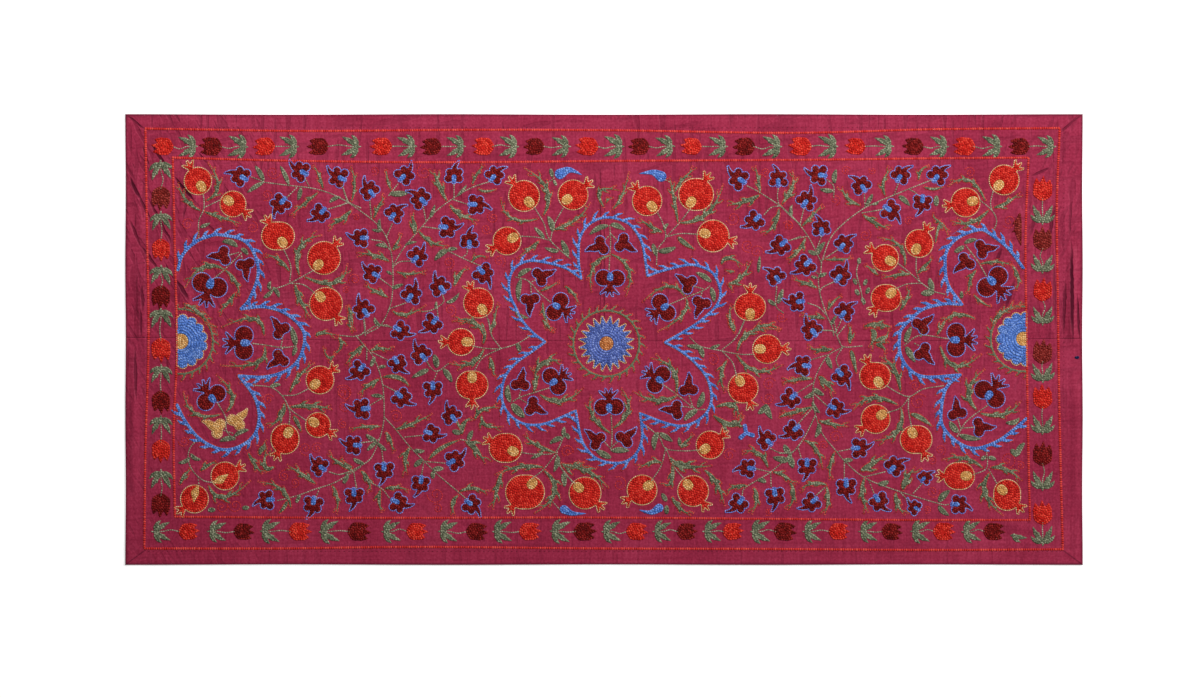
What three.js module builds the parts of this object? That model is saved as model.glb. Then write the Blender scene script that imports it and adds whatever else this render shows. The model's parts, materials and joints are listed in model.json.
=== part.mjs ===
// Suzani: an embroidered crimson silk cloth of two loom widths, lying flat and face up.
// Units are millimetres. +X runs along the cloth, +Y towards its upper long side and
// +Z out of the embroidered face. The origin is at the middle of the underside.

import * as THREE from "three";

// Driving dimensions
const LENGTH = 1440;
const WIDTH = 678;
const THICKNESS = 1.5;
const SEAM_GAP = 0.3;
const SILK_COLOUR = "#9c2f4e";

// The long sides and the ends wander inwards by this much between the corners.
const EDGE_WANDER = 0.8;
const EDGE_WAVES = 3;

// The hem is turned under all round, so the cloth is a little thicker there.
const HEM = { atEnds: 31, atSides: 23, extra: 0.4, step: 6 };

// The middle seam bows: it lies low in the middle and rises towards both ends.
const SEAM = { middle: -2.3, left: 2.9, right: 1.5, leftBow: 263, rightBow: 455 };

// Soft ridges that the cloth keeps where it lies, each along a straight line.
// x1, y1, x2, y2: its ends; height: how far it lifts; width: half its breadth.
const FOLDS = [
  // left border and corner
  { x1: -707, y1: 258, x2: -696, y2: 162, height: 2.6, width: 5.5 },
  { x1: -696, y1: 95, x2: -696, y2: 4, height: 3.2, width: 5.5 },
  { x1: -707, y1: -16, x2: -707, y2: -229, height: 2.2, width: 6 },
  { x1: -668, y1: 285, x2: -660, y2: 258, height: 1.8, width: 6 },
  { x1: -636, y1: 243, x2: -611, y2: 202, height: 2.6, width: 6.5 },
  { x1: -642, y1: 92, x2: -623, y2: 44, height: 2.6, width: 6.5 },
  { x1: -641, y1: 330, x2: -544, y2: 315, height: 1.5, width: 7 },
  // right border and corners
  { x1: 704, y1: 135, x2: 703, y2: 2, height: 3.6, width: 5.5 },
  { x1: 672, y1: 117, x2: 672, y2: 7, height: 3.1, width: 5.5 },
  { x1: 624, y1: 202, x2: 620, y2: 147, height: 2.4, width: 6 },
  { x1: 608, y1: 156, x2: 572, y2: 99, height: 3.0, width: 6.5 },
  { x1: 615, y1: 80, x2: 597, y2: 37, height: 2.6, width: 6.5 },
  { x1: 709, y1: -61, x2: 710, y2: -241, height: 2.0, width: 6.5 },
  { x1: 593, y1: -274, x2: 690, y2: -297, height: 1.6, width: 7 },
  { x1: 552, y1: 323, x2: 624, y2: 332, height: 1.4, width: 6 },
  // creases from the cloth having been folded in four
  { x1: -355, y1: 157, x2: -355, y2: -204, height: 1.3, width: 5 },
  { x1: -3, y1: 262, x2: -3, y2: -8, height: 1.3, width: 5 },
  { x1: 359, y1: 210, x2: 359, y2: -46, height: 1.3, width: 5 },
];
const FOLD_FADE = 22;
const LIES_FLAT_BELOW = 0.06;

// Grid stations along the cloth: close together across the folds, far apart between.
const COLUMN_ZONES = [
  { from: -720, to: -600, step: 5 },
  { from: -600, to: -365, step: 80 },
  { from: -365, to: -345, step: 5 },
  { from: -345, to: -13, step: 83 },
  { from: -13, to: 7, step: 5 },
  { from: 7, to: 349, step: 86 },
  { from: 349, to: 369, step: 5 },
  { from: 369, to: 560, step: 64 },
  { from: 560, to: 720, step: 5 },
];

// One row for each loom width: side is +1 above the seam and -1 below it.
const PANELS = [
  { name: "panel_upper", side: 1, rows: 20 },
  { name: "panel_lower", side: -1, rows: 12 },
];

function smoothStep(t) {
  const s = Math.min(Math.max(t, 0), 1);
  return s * s * (3 - 2 * s);
}

function columnStations(zones) {
  const stations = [];
  for (const zone of zones) {
    const count = Math.max(1, Math.round((zone.to - zone.from) / zone.step));
    for (let i = 0; i < count; i += 1) {
      stations.push(zone.from + ((zone.to - zone.from) * i) / count);
    }
  }
  stations.push(zones[zones.length - 1].to);
  return stations;
}

function seamLine(x) {
  const toLeft = smoothStep((-x - SEAM.leftBow) / (LENGTH / 2 - SEAM.leftBow));
  const toRight = smoothStep((x - SEAM.rightBow) / (LENGTH / 2 - SEAM.rightBow));
  const riseLeft = (SEAM.left - SEAM.middle) * toLeft;
  const riseRight = (SEAM.right - SEAM.middle) * toRight;
  return SEAM.middle + riseLeft + riseRight;
}

function edgeInset(along, length) {
  const phase = (2 * Math.PI * EDGE_WAVES * (along + length / 2)) / length;
  return (EDGE_WANDER * (1 - Math.cos(phase))) / 2;
}

function foldHeight(fold, x, y) {
  const dx = fold.x2 - fold.x1;
  const dy = fold.y2 - fold.y1;
  const length = Math.hypot(dx, dy);
  const along = ((x - fold.x1) * dx + (y - fold.y1) * dy) / length;
  const across = ((x - fold.x1) * dy - (y - fold.y1) * dx) / length;
  const fadeIn = smoothStep(along / FOLD_FADE + 0.5);
  const fadeOut = smoothStep((length - along) / FOLD_FADE + 0.5);
  return fold.height * Math.exp(-((across / fold.width) ** 2)) * fadeIn * fadeOut;
}

// Height of the underside: nought where the cloth touches, and more under a ridge.
function lift(x, y) {
  let height = 0;
  for (const fold of FOLDS) {
    height += foldHeight(fold, x, y);
  }
  return height < LIES_FLAT_BELOW ? 0 : height;
}

function clothThickness(x, y) {
  const insideEnds = LENGTH / 2 - Math.abs(x) - HEM.atEnds;
  const insideSides = WIDTH / 2 - Math.abs(y) - HEM.atSides;
  const inside = Math.min(insideEnds, insideSides);
  return THICKNESS + HEM.extra * (1 - smoothStep(inside / HEM.step + 0.5));
}

function panelPoint(panel, station, fromSeam) {
  const seamEdge = seamLine(station) + (panel.side * SEAM_GAP) / 2;
  const outerEdge = panel.side * (WIDTH / 2 - edgeInset(station, LENGTH));
  const y = seamEdge + (outerEdge - seamEdge) * fromSeam;
  const atEnd = Math.abs(station) === LENGTH / 2;
  const x = atEnd ? station - Math.sign(station) * edgeInset(y, WIDTH) : station;
  return [x, y];
}

// A closed sheet: a top skin, an underside skin and a band round the edge.
function sheetGeometry(panel) {
  const stations = columnStations(COLUMN_ZONES);
  const columns = stations.length;
  const rows = panel.rows + 1;
  const skinSize = columns * rows;
  const positions = [];
  for (const isTop of [true, false]) {
    for (let row = 0; row < rows; row += 1) {
      for (const station of stations) {
        const [x, y] = panelPoint(panel, station, row / panel.rows);
        const z = lift(x, y) + (isTop ? clothThickness(x, y) : 0);
        positions.push(x, y, z);
      }
    }
  }

  const faces = [];
  const addQuad = (a, b, c, d) => {
    if (panel.side > 0) {
      faces.push(a, b, c, a, c, d);
    } else {
      faces.push(a, c, b, a, d, c);
    }
  };
  for (let row = 0; row + 1 < rows; row += 1) {
    for (let column = 0; column + 1 < columns; column += 1) {
      const near = row * columns + column;
      const far = near + columns;
      addQuad(near, near + 1, far + 1, far);
      addQuad(skinSize + near, skinSize + far, skinSize + far + 1, skinSize + near + 1);
    }
  }

  const rim = [];
  for (let column = 0; column < columns; column += 1) rim.push(column);
  for (let row = 1; row < rows; row += 1) rim.push(row * columns + columns - 1);
  for (let column = columns - 2; column >= 0; column -= 1) rim.push((rows - 1) * columns + column);
  for (let row = rows - 2; row > 0; row -= 1) rim.push(row * columns);
  rim.forEach((top, index) => {
    const next = rim[(index + 1) % rim.length];
    addQuad(top, skinSize + top, skinSize + next, next);
  });

  const geometry = new THREE.BufferGeometry();
  geometry.setAttribute("position", new THREE.Float32BufferAttribute(positions, 3));
  geometry.setIndex(faces);
  geometry.computeVertexNormals();
  return geometry;
}

function makePanel(panel) {
  const silk = new THREE.MeshStandardMaterial({ color: SILK_COLOUR, roughness: 0.55, metalness: 0 });
  const mesh = new THREE.Mesh(sheetGeometry(panel), silk);
  mesh.name = panel.name;
  return mesh;
}

const suzani = new THREE.Group();
for (const panel of PANELS) {
  suzani.add(makePanel(panel));
}

export default suzani;
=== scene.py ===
# %% [markdown]
# # An embroidered silk cloth
# This cloth is a suzani: two loom widths of crimson silk sewn side by side, hemmed all
# round and covered with chain stitch. The solids from the CAD model give its size and the
# way it lies. Here it gets its weave, its seam and hem stitches and every motif, stitched
# row by row. One picture element of the photo is 1.504 mm on the cloth, so a place read
# off the photo turns into a place on the cloth with one sum.

# %% Load the frame
import json
import math
from collections import namedtuple

import bpy
import numpy as np
from mathutils import Vector
from mathutils.geometry import delaunay_2d_cdt
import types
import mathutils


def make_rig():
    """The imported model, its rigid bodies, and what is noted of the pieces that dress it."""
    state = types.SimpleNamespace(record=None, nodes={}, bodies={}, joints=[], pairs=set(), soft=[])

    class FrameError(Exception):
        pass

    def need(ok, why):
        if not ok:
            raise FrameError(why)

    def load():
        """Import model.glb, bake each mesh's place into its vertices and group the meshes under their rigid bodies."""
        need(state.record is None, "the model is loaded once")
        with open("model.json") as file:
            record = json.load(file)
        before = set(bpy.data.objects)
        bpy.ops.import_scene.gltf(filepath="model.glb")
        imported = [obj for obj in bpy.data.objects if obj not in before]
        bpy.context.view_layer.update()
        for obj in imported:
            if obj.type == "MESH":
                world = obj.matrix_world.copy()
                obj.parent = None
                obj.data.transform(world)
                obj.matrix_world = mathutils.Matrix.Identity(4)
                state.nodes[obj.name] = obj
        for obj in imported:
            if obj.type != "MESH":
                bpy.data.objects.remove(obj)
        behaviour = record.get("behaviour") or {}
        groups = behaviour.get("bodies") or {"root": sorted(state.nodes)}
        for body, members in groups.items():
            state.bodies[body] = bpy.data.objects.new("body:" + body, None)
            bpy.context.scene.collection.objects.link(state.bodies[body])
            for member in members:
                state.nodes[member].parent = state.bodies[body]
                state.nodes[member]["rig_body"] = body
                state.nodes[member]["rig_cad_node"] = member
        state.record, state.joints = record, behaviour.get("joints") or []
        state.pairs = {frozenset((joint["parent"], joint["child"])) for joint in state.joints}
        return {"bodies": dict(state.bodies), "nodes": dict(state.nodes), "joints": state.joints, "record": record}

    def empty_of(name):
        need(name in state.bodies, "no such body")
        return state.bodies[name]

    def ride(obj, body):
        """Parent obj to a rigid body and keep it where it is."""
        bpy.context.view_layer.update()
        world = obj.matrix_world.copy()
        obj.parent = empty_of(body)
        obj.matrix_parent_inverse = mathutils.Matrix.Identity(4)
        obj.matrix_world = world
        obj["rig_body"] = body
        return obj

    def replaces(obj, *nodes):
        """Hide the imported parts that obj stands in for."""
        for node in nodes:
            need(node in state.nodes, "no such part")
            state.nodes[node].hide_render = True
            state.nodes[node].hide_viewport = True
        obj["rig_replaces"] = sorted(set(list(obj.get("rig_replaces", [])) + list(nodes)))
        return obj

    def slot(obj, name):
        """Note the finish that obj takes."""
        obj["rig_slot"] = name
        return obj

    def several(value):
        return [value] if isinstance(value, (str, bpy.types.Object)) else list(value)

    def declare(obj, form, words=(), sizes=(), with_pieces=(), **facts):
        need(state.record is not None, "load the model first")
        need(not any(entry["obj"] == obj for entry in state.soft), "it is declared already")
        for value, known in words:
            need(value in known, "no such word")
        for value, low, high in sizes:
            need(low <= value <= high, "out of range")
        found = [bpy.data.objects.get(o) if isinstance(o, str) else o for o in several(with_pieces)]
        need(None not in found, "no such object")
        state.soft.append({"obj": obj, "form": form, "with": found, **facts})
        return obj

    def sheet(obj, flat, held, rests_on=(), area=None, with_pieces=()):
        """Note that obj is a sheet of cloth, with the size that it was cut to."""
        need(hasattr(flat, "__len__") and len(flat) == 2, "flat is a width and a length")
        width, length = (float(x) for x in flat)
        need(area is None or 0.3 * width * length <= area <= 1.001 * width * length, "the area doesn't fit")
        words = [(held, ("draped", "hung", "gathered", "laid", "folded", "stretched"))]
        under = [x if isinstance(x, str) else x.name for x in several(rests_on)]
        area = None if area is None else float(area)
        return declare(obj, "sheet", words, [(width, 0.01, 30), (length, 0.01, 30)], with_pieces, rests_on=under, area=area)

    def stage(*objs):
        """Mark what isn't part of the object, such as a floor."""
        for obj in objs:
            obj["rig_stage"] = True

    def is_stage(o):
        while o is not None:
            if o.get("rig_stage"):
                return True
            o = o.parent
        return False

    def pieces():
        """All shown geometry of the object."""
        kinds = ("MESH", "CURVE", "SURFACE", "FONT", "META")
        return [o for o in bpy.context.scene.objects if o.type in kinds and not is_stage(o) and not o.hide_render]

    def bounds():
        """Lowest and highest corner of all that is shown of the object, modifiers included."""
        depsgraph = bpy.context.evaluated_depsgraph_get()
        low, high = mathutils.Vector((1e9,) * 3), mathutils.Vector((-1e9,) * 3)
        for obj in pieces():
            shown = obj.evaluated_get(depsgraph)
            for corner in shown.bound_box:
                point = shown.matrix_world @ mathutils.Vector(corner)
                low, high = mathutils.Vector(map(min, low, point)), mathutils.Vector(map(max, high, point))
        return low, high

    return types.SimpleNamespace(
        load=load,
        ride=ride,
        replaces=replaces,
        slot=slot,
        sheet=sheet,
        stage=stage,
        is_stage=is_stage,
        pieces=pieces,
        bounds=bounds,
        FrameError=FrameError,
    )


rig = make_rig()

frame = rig.load()
cad_box = [list(corner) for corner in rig.bounds()]
# The tables and sums below are in millimetres, and a mesh is in metres.
MM = 0.001
print("CAD box in metres:", cad_box)

# %% [markdown]
# ## Camera, light and floor
# The photo looks straight down on the cloth, so the camera hangs above it. A long lens from
# far away keeps the edges parallel. A wide lamp beyond the top edge makes that side
# brighter, a lamp low at the right brings out the folds, and the world fills the rest. A pale
# floor lies under the cloth and isn't part of it.

# %% Camera
PHOTO_WIDTH = 1200
PIXEL = 1.504
PHOTO_CENTRE = (600.0, 349.0)
CLOTH_CENTRE = (604.0, 339.5)
CAMERA_HEIGHT = 6.0
SENSOR = 36.0


def to_cloth(points):
    """Photo pixels to millimetres on the cloth, from its middle."""
    p = np.asarray(points, float)
    return np.stack([(p[..., 0] - CLOTH_CENTRE[0]) * PIXEL,
                     (CLOTH_CENTRE[1] - p[..., 1]) * PIXEL], -1)


scene = bpy.context.scene
scene.view_settings.view_transform = "Standard"
camera_data = bpy.data.cameras.new("camera")
camera_data.sensor_width = SENSOR
camera_data.lens = SENSOR * CAMERA_HEIGHT / (PHOTO_WIDTH * PIXEL * MM)
camera = bpy.data.objects.new("camera", camera_data)
look = to_cloth(PHOTO_CENTRE) * MM
camera.location = (look[0], look[1], CAMERA_HEIGHT)
scene.collection.objects.link(camera)
scene.camera = camera
print("lens", round(camera_data.lens, 1), "mm")

# %% Light
Lamp = namedtuple("Lamp", "name place size size_y watts")
LAMPS = [Lamp("window_light", (-0.1, 0.95, 0.75), 2.2, 0.5, 10.2),
         Lamp("side_light", (4.7, 2.3, 3.4), 1.25, 1.25, 300.0)]
WORLD_STRENGTH = 0.215
for made in LAMPS:
    lamp_data = bpy.data.lights.new(made.name, "AREA")
    lamp_data.shape = "RECTANGLE"
    lamp_data.size = made.size
    lamp_data.size_y = made.size_y
    lamp_data.energy = made.watts
    lamp = bpy.data.objects.new(made.name, lamp_data)
    lamp.location = made.place
    lamp.rotation_euler = (-lamp.location).to_track_quat("-Z", "Y").to_euler()
    scene.collection.objects.link(lamp)

world = bpy.data.worlds.new("studio")
world.use_nodes = True
background = world.node_tree.nodes["Background"]
background.inputs["Color"].default_value = (1, 1, 1, 1)
background.inputs["Strength"].default_value = WORLD_STRENGTH
scene.world = world
print("lamps:", len(LAMPS))

# %% Floor
FLOOR_HALF = 4.0
FLOOR_DROP = 0.0005
FLOOR_SHADE = 0.93
FLOOR_GLOW = 0.48
floor_mesh = bpy.data.meshes.new("floor")
floor_corners = [(x * FLOOR_HALF, y * FLOOR_HALF, 0) for x, y in ((-1, -1), (1, -1), (1, 1), (-1, 1))]
floor_mesh.from_pydata(floor_corners, [], [(0, 1, 2, 3)])
floor = bpy.data.objects.new("floor", floor_mesh)
floor.location.z = -FLOOR_DROP
scene.collection.objects.link(floor)
floor_paint = bpy.data.materials.new("floor_paint")
floor_paint.use_nodes = True
floor_shader = floor_paint.node_tree.nodes["Principled BSDF"]
floor_shader.inputs["Base Color"].default_value = (FLOOR_SHADE, FLOOR_SHADE, FLOOR_SHADE, 1)
floor_shader.inputs["Roughness"].default_value = 0.9
floor_shader.inputs["Emission Color"].default_value = (1, 1, 1, 1)
floor_shader.inputs["Emission Strength"].default_value = FLOOR_GLOW
floor_mesh.materials.append(floor_paint)
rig.stage(floor)
print("floor is a stage")

# %% [markdown]
# ## How the cloth lies
# Silk that has been folded for years doesn't lie quite flat: it keeps low ridges at its
# ends and faint creases where it was folded in four. These are the same folds as in the
# solids, each a line with a height and a half width. The embroidery also draws the silk in
# a little, which leaves a shallow unevenness all over.

# %% Sizes and folds, in millimetres
LENGTH = 1440.0
WIDTH = 678.0
SILK = 0.9
SEAM_GAP = 0.3
EDGE_WANDER = 0.8
EDGE_WAVES = 3
HEM_AT_ENDS = 31.0
HEM_AT_SIDES = 23.0
HEM_EXTRA = 0.4
HEM_STEP = 6.0
FOLD_FADE = 22.0
FOLD_FELT = 0.08
Seam = namedtuple("Seam", "middle left right left_bow right_bow")
SEAM = Seam(-2.3, 2.9, 1.5, 263.0, 455.0)
Fold = namedtuple("Fold", "x1 y1 x2 y2 height width")
FOLDS = [
    # left border and corner
    Fold(-707, 258, -696, 162, 2.6, 5.5),
    Fold(-696, 95, -696, 4, 3.2, 5.5),
    Fold(-707, -16, -707, -229, 2.2, 6),
    Fold(-668, 285, -660, 258, 1.8, 6),
    Fold(-636, 243, -611, 202, 2.6, 6.5),
    Fold(-642, 92, -623, 44, 2.6, 6.5),
    Fold(-641, 330, -544, 315, 1.5, 7),
    # right border and corners
    Fold(704, 135, 703, 2, 3.6, 5.5),
    Fold(672, 117, 672, 7, 3.1, 5.5),
    Fold(624, 202, 620, 147, 2.4, 6),
    Fold(608, 156, 572, 99, 3.0, 6.5),
    Fold(615, 80, 597, 37, 2.6, 6.5),
    Fold(709, -61, 710, -241, 2.0, 6.5),
    Fold(593, -274, 690, -297, 1.6, 7),
    Fold(552, 323, 624, 332, 1.4, 6),
    # creases from the cloth having been folded in four
    Fold(-355, 157, -355, -204, 1.3, 5),
    Fold(-3, 262, -3, -8, 1.3, 5),
    Fold(359, 210, 359, -46, 1.3, 5),
]
# Waves that the drawn-in silk keeps: their lengths along X and Y, and their heights.
Wave = namedtuple("Wave", "along_x along_y turn height")
PUCKERS = [Wave(71, 53, 0.4, 0.16), Wave(-47, 63, 1.9, 0.13), Wave(29, -41, 2.6, 0.10),
           Wave(113, 37, 0.9, 0.14)]


def smooth_step(t):
    s = np.clip(t, 0, 1)
    return s * s * (3 - 2 * s)


def fold_height(x, y):
    height = np.zeros_like(x)
    for fold in FOLDS:
        dx, dy = fold.x2 - fold.x1, fold.y2 - fold.y1
        length = math.hypot(dx, dy)
        along = ((x - fold.x1) * dx + (y - fold.y1) * dy) / length
        across = ((x - fold.x1) * dy - (y - fold.y1) * dx) / length
        fade = smooth_step(along / FOLD_FADE + 0.5) * smooth_step((length - along) / FOLD_FADE + 0.5)
        height += fold.height * np.exp(-(across / fold.width) ** 2) * fade
    return height


def on_fold(x, y):
    return fold_height(x, y) > FOLD_FELT


def lift(x, y):
    """How far the underside is off the floor."""
    height = fold_height(x, y)
    for wave in PUCKERS:
        phase = 2 * math.pi * (x / wave.along_x + y / wave.along_y) + wave.turn
        height += wave.height * (1 + np.sin(phase)) / 2
    return height


def silk_thickness(x, y):
    inside = np.minimum(LENGTH / 2 - np.abs(x) - HEM_AT_ENDS, WIDTH / 2 - np.abs(y) - HEM_AT_SIDES)
    return SILK + HEM_EXTRA * (1 - smooth_step(inside / HEM_STEP + 0.5))


def silk_top(x, y):
    """Height of the face of the silk, where the stitches sit."""
    return lift(x, y) + silk_thickness(x, y)


print(len(FOLDS), "folds, highest", max(fold.height for fold in FOLDS), "mm")

# %% [markdown]
# ## Finishes
# The ground is plain-woven silk: a fine weave, thicker threads here and there in both
# directions, uneven dye and a soft sheen. The stitching is silk floss, glossier than the
# ground, and each stitch takes the light and the dye a little differently, so every stitch
# carries its own shade as an attribute that the material reads.

# %% A class for writing materials
class Paint:
    """A material, with short ways to add its nodes and join them."""

    def __init__(self, name):
        self.material = bpy.data.materials.new(name)
        self.material.use_nodes = True
        self.nodes = self.material.node_tree.nodes
        self.place = self.add("ShaderNodeTexCoord").outputs["Object"]

    def join(self, source, target):
        """Links a socket to an input, or sets the input where a plain value is given."""
        if isinstance(source, bpy.types.NodeSocket):
            self.material.node_tree.links.new(source, target)
        else:
            target.default_value = source

    def add(self, kind, inputs=None, **settings):
        """A node with its settings, and its inputs by name or number."""
        node = self.nodes.new(kind)
        for key, value in settings.items():
            setattr(node, key, value)
        for key, value in (inputs or {}).items():
            self.join(value, node.inputs[key])
        return node

    def math(self, operation, a, b=0.0):
        return self.add("ShaderNodeMath", {0: a, 1: b}, operation=operation).outputs[0]

    def noise(self, scale, detail=3.0, roughness=0.55, place=None):
        """Noise on object coordinates, stretched by a scale for each axis."""
        source = self.place if place is None else place
        mapping = self.add("ShaderNodeMapping", {"Vector": source, "Scale": scale})
        vector = mapping.outputs["Vector"]
        inputs = {"Vector": vector, "Scale": 1.0, "Detail": detail, "Roughness": roughness}
        return self.add("ShaderNodeTexNoise", inputs).outputs["Fac"]

    def step(self, value, start, end, low=0.0, high=1.0):
        """Goes smoothly from low to high as the value goes from start to end."""
        inputs = {"Value": value, "From Min": start, "From Max": end, "To Min": low, "To Max": high}
        return self.add("ShaderNodeMapRange", inputs, interpolation_type="SMOOTHSTEP").outputs["Result"]

    def mix(self, share, first, second):
        """A colour socket mixed with a share of a second colour, given by its three numbers."""
        inputs = {"Factor": share, "A": first, "B": (*second, 1)}
        return self.add("ShaderNodeMix", inputs, data_type="RGBA").outputs["Result"]

    def ramp(self, value, stops):
        node = self.add("ShaderNodeValToRGB", {"Fac": value})
        elements = node.color_ramp.elements
        while len(elements) < len(stops):
            elements.new(0.5)
        for element, (place, colour) in zip(elements, stops):
            element.position = place
            element.color = (*colour, 1)
        return node.outputs["Color"]

    def attribute(self, name):
        return self.add("ShaderNodeAttribute", attribute_name=name).outputs["Fac"]

    def bump(self, height, depth, strength=1.0, normal=None):
        """A bump of this depth in millimetres, on top of another one where it is given."""
        node = self.add("ShaderNodeBump", {"Height": height, "Distance": depth * MM, "Strength": strength})
        if normal is not None:
            self.join(normal, node.inputs["Normal"])
        return node.outputs["Normal"]

    def finish(self, inputs):
        """Joins or sets the shader's own inputs, and gives the material."""
        for name, value in inputs.items():
            self.join(value, self.nodes["Principled BSDF"].inputs[name])
        return self.material


# %% Crimson silk
WEAVE_PITCH = 0.55
WEAVE_DEPTH = 0.12
WEAVE_STRENGTH = 0.16
EDGE_STRIP = 3.2
EDGE_BLUR = 1.2
EDGE_SHADE = (0.17, 0.012, 0.036)
EDGE_DARK = 0.75
# Painted shadow: the colour that creases and sharp creases darken to; the mitre line takes it too.
CREASE_SHADOW_AND_MITRE_LINE = (0.085, 0.004, 0.017)
CREASE_DEPTH = 2.0
PUCKER_DEPTH = 1.1
# The silk from its darkest thread to its lightest.
SILK_STOPS = [(0.36, (0.222, 0.011, 0.036)), (0.50, (0.334, 0.023, 0.063)), (0.64, (0.450, 0.043, 0.100))]
# How much of the colour the slubs, the dye and the grain decide.
SLUB_WEIGHT, DYE_WEIGHT, GRAIN_WEIGHT = 0.18, 0.26, 0.38
# The way a set of creases runs in degrees, how close they lie across and along it (per
# metre), how dark their painted shadow is, and between which places along the cloth they
# fade out.
Crease = namedtuple("Crease", "run across along dark gone full")
CREASES = [Crease(-62, 120, 26, 0.30, -0.42, -0.58), Crease(-118, 120, 26, 0.26, 0.46, 0.64),
           Crease(90, 110, 16, 0.26, 3.0, 2.0), Crease(-170, 80, 14, 0.20, 3.0, 2.0)]
# The sharp creases that the photo shows: both ends in photo pixels, half the width in mm,
# and how dark.
# Each streak is painted shadow in the silk's colour, dark where a sharp fold shades the cloth.
Streak = namedtuple("Streak", "x1 y1 x2 y2 half_width dark")
STREAKS = [Streak(*row) for row in (
    (129, 117, 141, 127, 2.6, 0.6), (152, 146, 166, 166, 3.4, 0.9), (143, 148, 149, 165, 2.6, 0.7),
    (176, 179, 193, 200, 3.6, 1.0), (131, 180, 140, 199, 4.0, 0.9), (139, 196, 149, 217, 3.4, 0.8),
    (149, 200, 171, 243, 3.2, 0.7), (131, 223, 141, 247, 3.4, 0.6), (141, 246, 157, 268, 3.4, 0.7),
    (158, 221, 171, 241, 3.0, 0.7), (187, 198, 183, 217, 2.6, 0.5), (206, 223, 217, 234, 3.0, 0.6),
    (166, 265, 173, 278, 2.6, 0.6), (177, 281, 188, 299, 4.4, 0.9), (199, 154, 207, 164, 2.6, 0.5),
    (142, 285, 143, 309, 3.2, 0.7), (141, 312, 141, 335, 3.0, 0.6), (135, 350, 136, 397, 3.4, 0.7),
    (166, 350, 168, 378, 2.6, 0.5), (1061, 132, 1076, 118, 2.6, 0.6), (1033, 176, 1049, 168, 3.0, 0.6),
    (1054, 207, 1048, 243, 3.8, 0.7), (1036, 213, 1030, 235, 3.4, 0.6), (1001, 248, 992, 273, 4.2, 0.8),
    (1014, 281, 1005, 309, 4.2, 0.8), (1053, 258, 1055, 323, 3.2, 0.6), (1071, 250, 1072, 336, 3.8, 1.0),
    (1071, 199, 1069, 236, 2.8, 0.5), (1065, 284, 1063, 331, 3.4, 0.7), (1077, 298, 1079, 336, 2.6, 0.8),
    (600, 165, 600, 300, 1.9, 0.5), (604, 200, 604, 345, 1.9, 0.5))]
STREAK_WANDER = 3.6
# The oval of a sharp crease fades out past the ends of its line, between these two rims.
STREAK_REACH, STREAK_BREADTH = 0.62, 0.85
STREAK_GONE, STREAK_FULL = 1.15, 0.45
CREASE_GONE, CREASE_FULL = 0.55, 0.66
# The dark line of the mitre, in mm from its middle, and how dark it is.
MITRE_GONE, MITRE_FULL, MITRE_DARK = 1.6, 0.4, 0.6


def crease_share(paint, split):
    """How deep in a crease each place lies, from 0 to 1; it sets the bump and the painted shadow."""
    total = None
    upper = paint.step(split["Y"], -0.20, 0.12, 0.45, 1.0)
    for crease in CREASES:
        turn = (0, 0, math.radians(90 - crease.run))
        turned = paint.add("ShaderNodeMapping", {"Vector": paint.place, "Rotation": turn}).outputs["Vector"]
        noise = paint.noise((crease.across, crease.along, 1), 1.0, 0.4, turned)
        deep = paint.step(noise, CREASE_GONE, CREASE_FULL, 0.0, crease.dark)
        where = paint.step(split["X"], crease.gone, crease.full)
        deep = paint.math("MULTIPLY", paint.math("MULTIPLY", deep, where), upper)
        total = deep if total is None else paint.math("MAXIMUM", total, deep)
    return total


def streak_share(paint):
    """The same for the sharp creases, each a long thin oval of painted shadow with wandering edges."""
    colour = paint.noise((75, 75, 1), 2.0).node.outputs["Color"]
    wander = {0: colour, 1: [STREAK_WANDER * MM] * 3, 2: paint.place}
    place = paint.add("ShaderNodeVectorMath", wander, operation="MULTIPLY_ADD").outputs["Vector"]
    total = None
    for streak in STREAKS:
        ends = to_cloth([streak[:2], streak[2:4]]) * MM
        middle, run = ends.mean(0) + STREAK_WANDER * MM / 2, ends[1] - ends[0]
        oval = {"Vector": place, "Location": (*middle, 0), "Rotation": (0, 0, math.atan2(run[1], run[0])),
                "Scale": (math.hypot(*run) * STREAK_REACH, streak.half_width * STREAK_BREADTH * MM, 1)}
        local = paint.add("ShaderNodeMapping", oval, vector_type="TEXTURE").outputs["Vector"]
        far = paint.add("ShaderNodeVectorMath", {0: local}, operation="LENGTH").outputs["Value"]
        deep = paint.step(far, STREAK_GONE, STREAK_FULL, 0.0, streak.dark)
        total = deep if total is None else paint.math("MAXIMUM", total, deep)
    return total


def mitre_line(paint, inside):
    """1 on the slanting line at each corner, where the turned hems meet."""
    length = math.hypot(HEM_AT_ENDS, HEM_AT_SIDES)
    along_x = paint.math("MULTIPLY", inside["X"], HEM_AT_SIDES / length)
    along_y = paint.math("MULTIPLY", inside["Y"], HEM_AT_ENDS / length)
    across = paint.math("ABSOLUTE", paint.math("SUBTRACT", along_x, along_y))
    near = paint.step(across, MITRE_GONE * MM, MITRE_FULL * MM, 0.0, MITRE_DARK)
    return paint.math("MULTIPLY", near, paint.math("LESS_THAN", inside["X"], HEM_AT_ENDS * MM))


def weave_height(paint, slubs):
    """Over and under of warp and weft, as two crossed waves, with the slubs on top."""
    inputs = {"Vector": paint.place, "Scale": math.pi / 10 / (WEAVE_PITCH * MM), "Distortion": 0.6}
    bands = [paint.add("ShaderNodeTexWave", inputs, wave_type="BANDS", bands_direction=way).outputs["Fac"]
             for way in ("X", "Y")]
    return paint.math("ADD", paint.math("MULTIPLY", paint.math("MULTIPLY", *bands), 0.5), slubs)


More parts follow.
